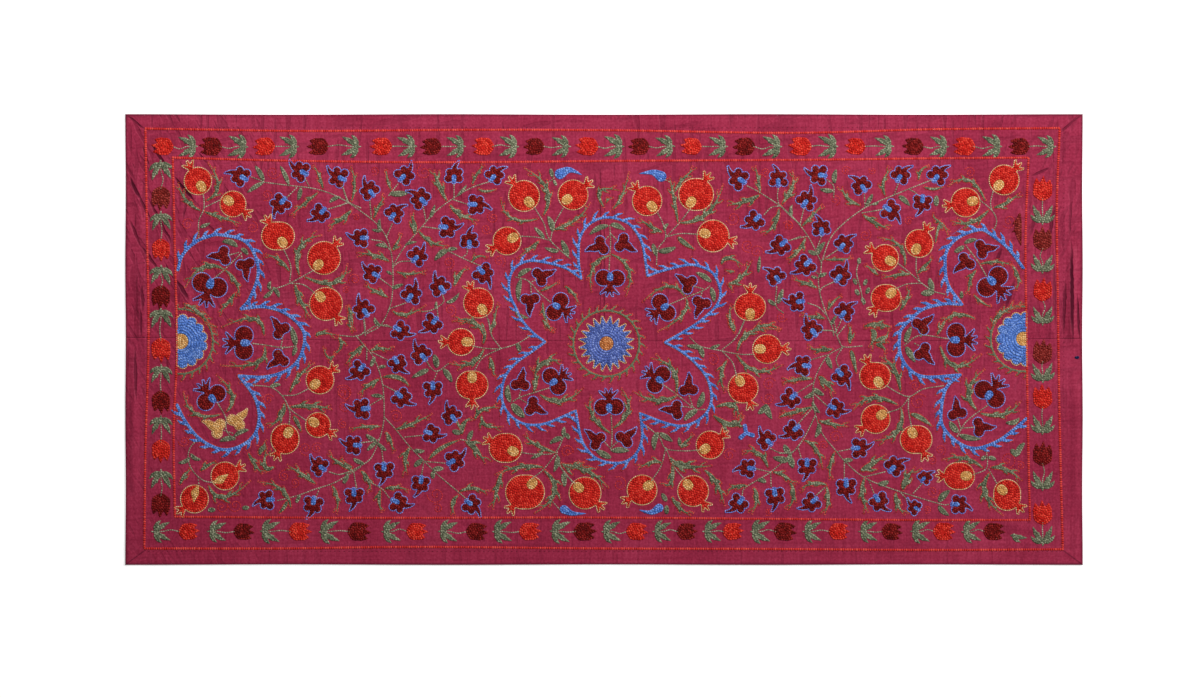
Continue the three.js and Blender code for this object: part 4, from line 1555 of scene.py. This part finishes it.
    "I": """
t 430 145 430 90 437 35 30, t 320 180 250 185 170 175 28, p 290 225 300 260 320 302 36,
r 435 185 450 240 470 330 30, t 520 40 600 25 680 40 30, t 560 60 580 100 545 170 40,
t 580 130 640 110 665 95 36, t 590 150 620 160 655 185 28, t 740 435 700 300 615 225 30,
t 195 360 110 365 15 382 28, t 240 350 280 385 340 450 40, p 205 435 185 465 140 478 28,
p 210 420 235 445 272 462 32, p 200 500 215 545 250 572 28, t 195 535 110 560 0 580 26,
t 240 620 320 640 420 655 26, p 235 635 238 680 212 727 34, t 150 740 225 800 262 920 28,
t 720 520 560 480 445 560 28, t 745 545 720 690 575 742 30, r 800 580 860 600 935 655 30,
p 65 815 60 860 75 912 30, p 60 810 40 790 25 765 28, p 60 840 30 865 -10 870 28,
t 335 815 310 890 305 985 24, t 285 1015 200 1005 120 1045 26, t 285 1025 295 1110 272 1195 28,
p 390 860 420 862 450 860 30, t 500 925 560 890 650 828 44, p 600 1010 640 1005 668 990 34,
t 518 975 505 1080 545 1185 30, t 755 1040 775 980 828 908 42, t 712 1065 720 1130 765 1198 30,
p 975 1120 1005 1080 1045 1048 40, p 975 1140 1000 1175 1042 1203 36, t 1245 910 1130 850 995 860 28,
p 1280 845 1305 850 1330 860 30, p 1265 840 1250 850 1235 865 28, t 1300 908 1390 920 1490 990 30,
t 1285 945 1260 1070 1370 1200 32, p 770 140 785 90 810 38 38, p 775 165 800 210 832 262 40,
t 985 165 1080 285 1240 210 30, t 965 90 1000 30 1020 -10 28, p 1095 690 1065 660 1040 620 40,
p 1100 705 1160 725 1240 732 36, t 1205 550 1160 430 1255 305 34, t 1235 575 1380 580 1480 500 30,
p 1385 630 1440 630 1470 600 30
""",
    "J": "p 720 840 735 790 768 755 36, p 720 835 700 815 680 795 36",
}
LEAF_STEPS = 9
BARB_SIZES = (1.0, 0.75, 1.1)
BARB_SPACING = 13.5
BARB_LENGTH = 1.1
# Where along a leaf its first barb stands, and how far on the last one.
BARB_START, BARB_STRETCH = 0.24, 0.58
# A barb's bend and its tip, along the leaf and out from it, in lengths of the barb.
BARB_BEND, BARB_TIP = (0.34, 0.42), (0.92, 0.62)
THORNY_BREADTH = 1.08


def plain_leaf(base, middle, tip, width):
    t = np.linspace(0, 1, LEAF_STEPS)
    swell = width / 2 * np.sin(math.pi * t ** 0.85) ** 0.75
    return [stroke(bow(base, middle, tip, LEAF_STEPS), np.maximum(swell, 0.25))]


def thorny_leaf(base, middle, tip, width, first_side):
    t = np.linspace(0, 1, LEAF_STEPS)
    spine = bow(base, middle, tip, LEAF_STEPS)
    swell = width / 2 * (0.26 + 0.52 * np.sin(math.pi * t ** 0.75)) * (1 - t ** 4)
    leaf = [stroke(spine, np.maximum(swell, 0.2))]
    barbs = max(2, round(line_length(spine, False) / BARB_SPACING))
    for number in range(barbs):
        at = BARB_START + BARB_STRETCH * number / max(barbs - 1, 1)
        place = at * (LEAF_STEPS - 1)
        k = int(place)
        root = spine[k] + (spine[k + 1] - spine[k]) * (place - k)
        way = (spine[k + 1] - spine[k]) / np.linalg.norm(spine[k + 1] - spine[k])
        side = first_side if number % 2 else -first_side
        out = np.array([-way[1], way[0]]) * side
        half = float(np.interp(at, t, swell))
        reach = half + BARB_LENGTH * width * BARB_SIZES[number % 3]
        bend = root + reach * (BARB_BEND[0] * way + BARB_BEND[1] * out)
        barb_tip = root + reach * (BARB_TIP[0] * way + BARB_TIP[1] * out)
        leaf.append(stroke([root, bend, barb_tip], (half * 0.9, half * 0.6, 0.3)))
    return leaf


def stitch_leaves():
    vary = np.random.default_rng(37)
    count = 0
    for sheet, (kind, *numbers) in entries(LEAVES):
        *places, width = [float(n) for n in numbers]
        points = on_sheet(sheet, places)
        width *= PIXEL / SHEETS[sheet].enlargement * vary.uniform(0.95, 1.08)
        if kind == "t":
            shape = thorny_leaf(*points, width * THORNY_BREADTH, vary.choice((-1, 1)))
        else:
            shape = plain_leaf(*points, width)
        stitch = fill if kind == "p" else fill_with_red_edge
        stitch("leaf_green", field_of(shape))
        count += 1
    print(count, "leaves")


stitch_leaves()

# %% Stems
STEMS = {
    "A": """
203.4 195.3 204.2 203 203.4 210.6 198.8 221.3 198.8 238.2, 204.2 207.6 218.7 200.7, 251.6 177 263.1 181.5,
263.9 182.3 288.4 185.4 312.9 188.4 331.2 193.8 348 202.2 360 207.6, 286.8 197.6 296 188.4,
305.2 178.5 309.8 187.7, 341.9 184.6 348 201.4, 328.9 209 348 203, 283.8 249.6 290.7 265.7 289.9 281,
315.2 269.5 289.9 283.3 273 289.4, 289.9 283.3 303.7 284.9 315.9 294, 227 255.8 237.9 252.7,
240.9 253.5 227 267.3 214.9 278, 240.9 253.5 242.4 259.6
""",
    "B": """
0 610 50 635 130 690 210 750 270 810 310 880 335 970 345 1060 345 1200 325 1320 265 1440 180 1490,
10 520 50 635, 0 660 50 635, 195 625 205 745, 340 780 305 860, 375 520 340 565 320 590,
210 880 280 895 320 940, 345 1050 420 930 540 790 620 700 740 610 860 540 980 500, 745 525 745 600,
545 670 560 750, 650 810 545 795, 835 650 745 620, 465 1020 390 1025 345 1060, 265 1135 340 1190,
425 1295 325 1330, 830 940 830 970 800 995, 700 950 800 1000 915 1050,
670 1240 675 1290 600 1340 540 1350, 635 1330 640 1380, 155 1410 165 1503, 265 1440 330 1450,
1270 670 1330 770 1370 880 1480 985 1500 1000, 1455 680 1400 780 1375 880, 1175 857 1290 865 1370 885,
955 1370 980 1450 990 1503, 1355 510 1395 480, 1150 1125 1230 1150 1300 1225 1370 1285,
1275 1145 1240 1160, 1250 1240 1245 1170
""",
    "C": """
640 710 670 770 690 865 640 940 630 1040, 850 680 780 770 690 865, 900 845 790 840 700 860,
690 490 710 500, 1225 530 1310 575 1430 655 1500 720 1568 780, 1425 550 1420 600 1430 655,
1335 715 1380 670 1435 660, 1500 885 1568 860, 1415 1190 1410 1310 1455 1355, 1205 1410 1170 1490,
325 790 330 900 320 1075, 325 850 285 890, 330 840 375 885, 975 1185 940 1210 830 1255 710 1305,
860 1180 930 1200, 930 1215 915 1265
""",
    "D": """
0 655 100 750 190 870 250 990 270 1030, 270 1030 265 1100 250 1130 260 1230 300 1360 340 1450 350 1503,
270 1030 330 870 420 770 540 680 620 640 740 590 850 545 990 490, 155 680 130 780, 270 860 240 940,
60 885 165 860, 310 490 350 530 350 600, 550 590 555 660, 770 520 745 585, 685 680 540 705,
900 590 880 570 850 555, 385 940 280 1010, 205 1065 245 1100, 365 1150 280 1190 260 1220,
185 1295 250 1320 300 1370, 400 1405 370 1470, 265 1470 340 1475, 515 1020 500 1100 525 1200 545 1300,
770 1035 840 1090 920 1160 1000 1215 1070 1235, 890 995 890 1080 910 1150, 755 1200 830 1170 920 1165,
1310 625 1385 690 1415 760 1390 830, 1390 570 1375 640 1385 690, 1215 920 1290 1020 1345 1115,
1245 960 1230 1000
""",
    "F": """
820 145 900 155 1000 170 1080 160, 990 165 1000 110 990 95, 1010 165 975 200,
600 510 650 600 655 680 700 735, 640 680 690 695, 805 400 930 415 1000 470 1050 550 1140 615,
1000 465 1080 460 1155 425, 1020 500 1045 570 1040 640, 475 735 430 790 420 860 450 930 510 985 570 1000,
480 965 485 1005, 970 1110 1090 1080 1200 1040 1320 1000 1440 930 1476 905, 1290 935 1350 950 1440 925,
1205 1090 1225 1040, 1440 950 1455 1030
""",
    "G": """
0 95 100 100 180 60 210 40 280 30 310 45,
100 100 160 170 200 220 240 310 265 420 272 560 265 650 240 740 190 850 120 900 60 930 0 950,
150 0 155 60 130 90, 165 180 165 240, 200 200 300 250, 265 400 345 440, 185 525 260 480,
130 755 200 745 235 735, 255 780 265 870, 275 600 340 670 430 780 520 870 600 950 730 1060 775 1100,
400 720 500 710, 525 870 640 880, 515 880 500 960, 85 935 100 1030, 190 1000 260 1040 300 1090,
525 240 560 295 600 315 665 270, 600 315 580 365, 715 630 750 690, 740 735 800 745,
815 160 900 175 990 175 1090 145 1165 100, 915 0 930 90 985 170, 980 180 880 230 830 305,
1115 815 1200 825 1320 815 1375 720, 1335 815 1250 920 1180 975, 1335 830 1370 930 1440 1000,
1310 1120 1350 1165, 1065 500 1120 470 1280 420, 1115 420 1100 480, 1100 480 1165 520
""",
    "H": """
315 590 320 700 315 800, 260 735 310 790, 375 730 320 780, 630 395 720 460 830 545 885 550,
795 470 815 530, 740 530 820 540, 530 650 610 720 650 790 760 805 850 800, 650 790 620 900 565 985,
655 800 700 900 770 985, 800 110 860 160 970 185 1100 210 1190 212, 1135 0 1080 110 1000 180,
1000 195 1060 260 1085 340, 1295 790 1350 815 1430 810 1476 760, 1430 815 1295 935 1140 1030 1120 1080,
1195 912 1290 935, 1295 940 1298 1020, 0 900 80 1000
""",
    "I": """
245 65 330 70 360 120 390 165 500 160, 330 0 345 70, 400 35 355 90,
390 165 300 215 240 300 205 400 205 500 220 590 260 700 340 800 400 870 520 970 720 1050 980 1130 1030 1135,
175 250 290 215, 380 175 345 240 365 300, 95 455 205 385, 215 460 285 525, 105 645 200 540,
215 590 150 720 80 810 0 820, 110 780 130 850, 350 810 425 795, 395 880 395 970, 520 965 640 935,
545 985 575 1060, 820 1065 870 1010, 745 1065 795 1120, 215 1085 270 1035,
640 395 720 445 795 470 880 425 1000 405, 795 475 740 540 660 570, 790 490 790 560 810 665,
1190 950 1270 910 1270 800, 1285 920 1330 1000, 765 155 860 95 1030 115, 875 60 865 100, 830 145 865 165,
1090 715 1150 620 1290 515, 1090 600 1110 665, 1120 665 1190 660
""",
}

count = 0
for sheet, numbers in entries(STEMS):
    add_row("stem", smooth_line(on_sheet(sheet, numbers), 6), False)
    count += 1
print(count, "stems")

# %% Red curls and the loose navy knot
CURLS = {
    "A": "187.4 224.4 5, 252.4 227.5 5, 273 172.4 6, 267 195 5",
    "B": """
225 430 25, 550 440 40, 1000 735 35, 955 810 30, 710 1030 35, 95 1140 35, 40 1210 20, 720 1340 35,
105 735 20, 1040 1020 35
""",
    "C": "1130 740 40, 1225 920 35, 1285 960 38, 1445 1385 30, 1500 790 25, 1345 440 25",
    "D": """
55 790 30, 360 620 30, 555 850 35, 1495 760 40, 430 430 25, 605 430 20, 1240 440 30, 840 760 25
""",
    "F": """
395 745 30, 910 490 30, 1370 450 40, 1380 530 30, 1370 640 25, 1140 790 35, 1210 790 30, 1010 960 30,
1075 1000 25, 625 1150 35, 710 1140 35
""",
    "G": "345 595 35, 25 450 45, 590 1075 45, 600 1160 25, 1395 810 35",
    "H": "940 245 35, 1285 395 35, 1280 480 35, 1040 830 35, 1280 1180 20, 365 1010 40, 50 805 35",
    "I": """
830 405 30, 850 505 45, 340 720 35, 270 770 25, 985 800 28, 935 865 22, 940 1055 35, 905 1165 20
""",
    "J": "660 860 45, 740 895 22",
}
CURL_TURNS = 1.7
CURL_SIZE = 1.2
CURL_START = 0.12
CURL_POINTS = 26


def stitch_curls():
    vary = np.random.default_rng(5)
    count = 0
    for sheet, numbers in entries(CURLS):
        x, y, radius = (float(n) for n in numbers)
        middle = on_sheet(sheet, [x, y])[0]
        radius *= CURL_SIZE * PIXEL / SHEETS[sheet].enlargement
        start, way = vary.uniform(0, 2 * math.pi), vary.choice((-1, 1))
        t = np.linspace(CURL_START, 1, CURL_POINTS)
        turn = start + way * 2 * math.pi * CURL_TURNS * t
        add_row("curl", middle + radius * np.stack([t * np.cos(turn), t * np.sin(turn)], -1), False)
        count += 1
    print(count, "curls")


stitch_curls()
KNOT = [(1075.2, 357.4), (1077, 358.6), (1078.6, 357.2), (1076.8, 356.6)]
add_row("knot", to_cloth(KNOT), True)

# %% [markdown]
# ## Chain stitch
# A chain stitch is a row of small loops, each coming out of the one before. One loop is made
# once, of two short strands that part and close again, and Geometry Nodes set it along every
# row: the rows become curves, the curves get evenly spaced points, and each point gets a
# loop turned along the row. A fixed seed makes each loop a little longer or shorter, and
# gives it a shade of its own. An array modifier along a curve would need one object per row.

# %% One loop and one dash
def loop_object(name, points, faces, lit_shares):
    """One stitch, with the share of painted light at each of its points: full on its crowns, painted shade in its
    furrows.
    """
    mesh = bpy.data.meshes.new(name)
    mesh.from_pydata(points, [], faces)
    rise = mesh.attributes.new("rise", "FLOAT", "POINT")
    rise.data.foreach_set("value", lit_shares)
    mesh.polygons.foreach_set("use_smooth", [True] * len(faces))
    mesh.update()
    loop = bpy.data.objects.new(name, mesh)
    scene.collection.objects.link(loop)
    loop.hide_render = True
    print(name, len(faces), "faces")
    return loop


def chain_loop():
    """A loop one unit long, wide and high: two strands side by side, with a furrow between."""
    tail, head, left, right = (-0.60, 0, 0.05), (0.62, 0, 0.20), 0.46, -0.46
    points = [tail, (-0.22, left, 0), (0.27, left, 0), head, (0.27, right, 0), (-0.22, right, 0),
              (0.05, 0.26, 1.0), (0.05, -0.26, 1.0), (0.05, 0, 0.40)]
    faces = [(0, 6, 1), (1, 6, 2), (2, 6, 3), (0, 5, 7), (5, 4, 7), (4, 3, 7), (0, 8, 6), (8, 3, 6),
             (0, 7, 8), (8, 7, 3), (0, 1, 2), (0, 2, 3), (0, 3, 4), (0, 4, 5)]
    return loop_object("chain_loop", points, faces, [0.70, 0.62, 0.62, 0.90, 0.62, 0.62, 1.0, 1.0, 0.55])


def thread_dash():
    """A single strand that comes up and goes down again, for thin lines and seams."""
    points = [(-0.56, 0, 0.1), (0, 0.5, 0.2), (0, -0.5, 0.2), (0.56, 0, 0.1), (0, 0, 1.0), (0, 0, -0.3)]
    faces = [(0, 2, 4), (2, 3, 4), (3, 1, 4), (1, 0, 4), (2, 0, 5), (3, 2, 5), (1, 3, 5), (0, 1, 5)]
    return loop_object("thread_dash", points, faces, [0.70, 0.60, 0.60, 0.80, 1.0, 0.50])


loops = {"chain": chain_loop(), "dash": thread_dash()}

# %% The stitching tree
def socket(tree, name, kind, value=None):
    made = tree.interface.new_socket(name, in_out="INPUT", socket_type=kind)
    if value is not None:
        made.default_value = value
    return made.identifier


def chain_stitch_tree():
    tree = bpy.data.node_groups.new("chain_stitch", "GeometryNodeTree")
    names = {"Rows": socket(tree, "Rows", "NodeSocketGeometry")}
    defaults = {"Spacing": 0.003, "Loop length": 0.003, "Loop width": 0.002, "Loop height": 0.0009,
                "Unevenness": 0.1}
    for name, value in defaults.items():
        names[name] = socket(tree, name, "NodeSocketFloat", value)
    names["Seed"] = socket(tree, "Seed", "NodeSocketInt", 1)
    names["Loop"] = socket(tree, "Loop", "NodeSocketObject")
    names["Floss"] = socket(tree, "Floss", "NodeSocketMaterial")
    tree.interface.new_socket("Stitches", in_out="OUTPUT", socket_type="NodeSocketGeometry")
    nodes, join = tree.nodes, tree.links.new
    given, result = nodes.new("NodeGroupInput"), nodes.new("NodeGroupOutput")
    curve = nodes.new("GeometryNodeMeshToCurve")
    spaced = nodes.new("GeometryNodeResampleCurve")
    spaced.mode = "LENGTH"
    join(given.outputs["Rows"], curve.inputs["Mesh"])
    join(curve.outputs["Curve"], spaced.inputs["Curve"])
    join(given.outputs["Spacing"], spaced.inputs["Length"])

    turn = nodes.new("FunctionNodeAlignRotationToVector")
    turn.axis = "X"
    turn.pivot_axis = "Z"
    join(nodes.new("GeometryNodeInputTangent").outputs["Tangent"], turn.inputs["Vector"])

    uneven = nodes.new("FunctionNodeRandomValue")
    uneven.data_type = "FLOAT_VECTOR"
    join(given.outputs["Seed"], uneven.inputs["Seed"])
    for sign, limit in ((-1, "Min"), (1, "Max")):
        edge = nodes.new("ShaderNodeMath")
        edge.operation = "MULTIPLY_ADD"
        edge.inputs[1].default_value = sign
        edge.inputs[2].default_value = 1.0
        join(given.outputs["Unevenness"], edge.inputs[0])
        join(edge.outputs[0], uneven.inputs[limit])
    size = nodes.new("ShaderNodeCombineXYZ")
    for axis, name in (("X", "Loop length"), ("Y", "Loop width"), ("Z", "Loop height")):
        join(given.outputs[name], size.inputs[axis])
    scaled = nodes.new("ShaderNodeVectorMath")
    scaled.operation = "MULTIPLY"
    join(size.outputs[0], scaled.inputs[0])
    join(uneven.outputs["Value"], scaled.inputs[1])

    source = nodes.new("GeometryNodeObjectInfo")
    join(given.outputs["Loop"], source.inputs["Object"])
    set_down = nodes.new("GeometryNodeInstanceOnPoints")
    join(spaced.outputs["Curve"], set_down.inputs["Points"])
    join(source.outputs["Geometry"], set_down.inputs["Instance"])
    join(turn.outputs["Rotation"], set_down.inputs["Rotation"])
    join(scaled.outputs["Vector"], set_down.inputs["Scale"])

    shade = nodes.new("FunctionNodeRandomValue")
    shade.data_type = "FLOAT"
    join(given.outputs["Seed"], shade.inputs["Seed"])
    keep = nodes.new("GeometryNodeStoreNamedAttribute")
    keep.domain = "INSTANCE"
    keep.data_type = "FLOAT"
    keep.inputs["Name"].default_value = "shade"
    join(set_down.outputs["Instances"], keep.inputs["Geometry"])
    join(shade.outputs[1], keep.inputs["Value"])
    real = nodes.new("GeometryNodeRealizeInstances")
    coloured = nodes.new("GeometryNodeSetMaterial")
    join(keep.outputs["Geometry"], real.inputs["Geometry"])
    join(real.outputs["Geometry"], coloured.inputs["Geometry"])
    join(given.outputs["Floss"], coloured.inputs["Material"])
    join(coloured.outputs["Geometry"], result.inputs["Stitches"])
    return tree, names


stitch_tree, stitch_sockets = chain_stitch_tree()
print("tree with", len(stitch_tree.nodes), "nodes")

# %% Stitching one kind of row
THREAD_KEYS = ("shade", "rise")
UNEVENNESS = 0.13


def stitch_rows(kind, rows, floss_name, loop, spacing, length, width, height, seed):
    """Points, triangles and shades of all the loops on these rows, in millimetres."""
    points, edges = [], []
    for row in rows:
        first, count = len(points), len(row.points)
        points += [(x, y, row.height) for x, y in row.points]
        edges += [(first + k, first + k + 1) for k in range(count - 1)]
        if row.closed:
            edges.append((first + count - 1, first))
    mesh = bpy.data.meshes.new(kind + "_rows")
    mesh.from_pydata([Vector(p) * MM for p in points], edges, [])
    guide = bpy.data.objects.new(kind + "_rows", mesh)
    scene.collection.objects.link(guide)
    modifier = guide.modifiers.new("chain_stitch", "NODES")
    modifier.node_group = stitch_tree
    values = {"Spacing": spacing * MM, "Loop length": length * MM, "Loop width": width * MM,
              "Loop height": height * MM, "Unevenness": UNEVENNESS, "Seed": seed, "Loop": loops[loop],
              "Floss": floss[floss_name]}
    for name, value in values.items():
        modifier[stitch_sockets[name]] = value
    seen = guide.evaluated_get(bpy.context.evaluated_depsgraph_get())
    made = bpy.data.meshes.new_from_object(seen)
    co = np.zeros(len(made.vertices) * 3, np.float32)
    made.vertices.foreach_get("co", co)
    corners = np.zeros(len(made.loops), np.int32)
    made.loops.foreach_get("vertex_index", corners)
    threads = np.zeros((2, len(made.vertices)), np.float32)
    for values, key in zip(threads, THREAD_KEYS):
        made.attributes[key].data.foreach_get("value", values)
    bpy.data.objects.remove(guide)
    bpy.data.meshes.remove(made)
    print(kind, len(rows), "rows,", len(corners) // 3 // len(loops[loop].data.polygons), "loops")
    return co.reshape(-1, 3) / MM, corners.reshape(-1, 3), threads


# %% Kinds of stitch, in millimetres
Kind = namedtuple("Kind", "piece floss loop spacing length width height")
KINDS = {
    "scarlet": Kind("scarlet_fruit_and_tulips", "scarlet", "chain", 3.8, 4.0, 2.9, 0.9),
    "maroon": Kind("maroon_flowers", "maroon", "chain", 3.8, 4.0, 2.9, 0.9),
    "rust": Kind("rust_tulips", "rust", "chain", 3.8, 4.0, 2.9, 0.9),
    "blue": Kind("blue_vines_and_eyes", "blue", "chain", 3.8, 4.0, 2.9, 0.9),
    "dusty_blue": Kind("blue_rosettes", "dusty_blue", "chain", 3.6, 3.9, 2.6, 0.9),
    "gold": Kind("gold_spots", "gold", "chain", 3.5, 3.7, 2.7, 0.9),
    "amber": Kind("amber_hearts", "amber", "chain", 3.5, 3.7, 2.7, 0.9),
    "gold_edge": Kind("gold_outlines", "pale_gold", "chain", 3.0, 3.5, 1.7, 0.95),
    "lavender_edge": Kind("lavender_outlines", "lavender", "chain", 3.0, 3.5, 1.8, 0.95),
    "leaf_green": Kind("green_leaves", "leaf_green", "chain", 3.8, 4.1, 2.5, 0.8),
    "stem": Kind("stems", "stem_green", "chain", 3.3, 3.7, 2.2, 0.9),
    "thin_red": Kind("red_leaf_edges", "brick", "dash", 4.4, 6.2, 1.5, 0.8),
    "border_line": Kind("red_border_lines", "vermilion", "chain", 3.4, 4.1, 4.3, 1.1),
    "curl": Kind("red_curls", "vermilion", "dash", 3.8, 5.2, 1.6, 0.8),
    "knot": Kind("loose_navy_knot", "navy", "chain", 1.2, 3.6, 2.4, 1.3),
    "hem_stitch": Kind("seam_and_hem_stitches", "crimson", "dash", 7.0, 3.2, 0.8, 0.45),
    "seam_stitch": Kind("seam_and_hem_stitches", "crimson", "dash", 3.0, 4.2, 1.3, 0.4),
}
# The seam stitches sink this far into the groove, where their dark floss paints its shadow.
SEAM_DEPTH = 0.55
SINK = 0.12

# %% [markdown]
# ## Sewing
# The hem is caught down with small running stitches that show as tiny dashes in the
# ground's own colour. The middle seam is sewn edge to edge; its stitches sit low in the
# groove in dark floss, as painted shadow along the seam.

# %% Hem and seam rows
HEM_ROW = 5.0
HEM_SPACING = 12.0
SEAM_POINTS = 300
half_x = LENGTH / 2 - HEM_AT_ENDS + HEM_ROW / 2
half_y = WIDTH / 2 - HEM_AT_SIDES + HEM_ROW / 2
hem_row = np.array([(-half_x, -half_y), (half_x, -half_y), (half_x, half_y), (-half_x, half_y)])
add_row("hem_stitch", evenly(hem_row, HEM_SPACING))
seam_x = np.linspace(-LENGTH / 2 + 3, LENGTH / 2 - 3, SEAM_POINTS)
add_row("seam_stitch", np.column_stack([seam_x, seam_line(seam_x)]), False, -SEAM_DEPTH)
print("hem and seam rows added")

# %% [markdown]
# ## Setting the stitches on the silk
# So far every row lies on a flat drawing. Now each point is raised by the height of the silk
# below it, so the stitching rides over the folds with the cloth. Each colour of floss
# becomes one piece, its loops and its beds together.

# %% One piece for each colour of floss
# Beds lie under the loops, so they take painted shade, the darker colour of the furrows; their tone is fixed.
BED_SHADE = 0.45
BED_LIT_SHARE = 0.45
RECORD_SLOT = frame["record"]["materials"][0]["slot"]


def gather_pieces():
    """Points, triangles and shades for each piece, by name."""
    gathered = {}
    for seed, (kind, sizes) in enumerate(KINDS.items(), 1):
        if kind in rows_of:
            made = stitch_rows(kind, rows_of[kind], *sizes[1:], seed)
            gathered.setdefault(sizes.piece, []).append((kind, made))
        for points, triangles in beds_of.get(kind, []):
            threads = np.repeat([[BED_SHADE], [BED_LIT_SHARE]], len(points), 1)
            gathered[sizes.piece].append((kind, (points, triangles, threads)))
    return gathered


def stitched_pieces():
    pieces = []
    for name, parts in gather_pieces().items():
        points, triangles, threads, first = [], [], [], 0
        for _, (p, t, s) in parts:
            points.append(p)
            triangles.append(t + first)
            threads.append(s)
            first += len(p)
        points = np.concatenate(points).astype(float)
        points[:, 2] += silk_top(points[:, 0], points[:, 1]) - SINK
        material = floss[KINDS[parts[0][0]].floss]
        threads = dict(zip(THREAD_KEYS, np.concatenate(threads, 1)))
        pieces.append(make_piece(name, points, np.concatenate(triangles), material, threads))
    return pieces


embroidery = stitched_pieces()
for loop in loops.values():
    bpy.data.objects.remove(loop)
print("embroidery:", sum(len(piece.data.polygons) for piece in embroidery), "triangles")

# %% [markdown]
# ## Joining it to the frame
# The cloth has no joints, so everything rides on the one body. The two sheets stand for the
# two solids, and both are declared as sheets of cloth, with the size they were cut to.

# %% Ride, replace and declare
for piece in [upper_silk, lower_silk] + embroidery:
    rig.ride(piece, "root")
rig.replaces(upper_silk, "panel_upper")
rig.replaces(lower_silk, "panel_lower")
for sheet in (upper_silk, lower_silk):
    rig.slot(sheet, RECORD_SLOT)
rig.sheet(upper_silk, flat=(WIDTH / 2 * MM, LENGTH * MM), held="laid", with_pieces=embroidery)
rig.sheet(lower_silk, flat=(WIDTH / 2 * MM, LENGTH * MM), held="laid")
print("pieces:", 2 + len(embroidery))

# %% Sizes, for comparing with the solids
with open("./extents.json", "w") as size_file:
    json.dump({"cad": cad_box, "visual": [list(corner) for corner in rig.bounds()]}, size_file)
print(open("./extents.json").read())
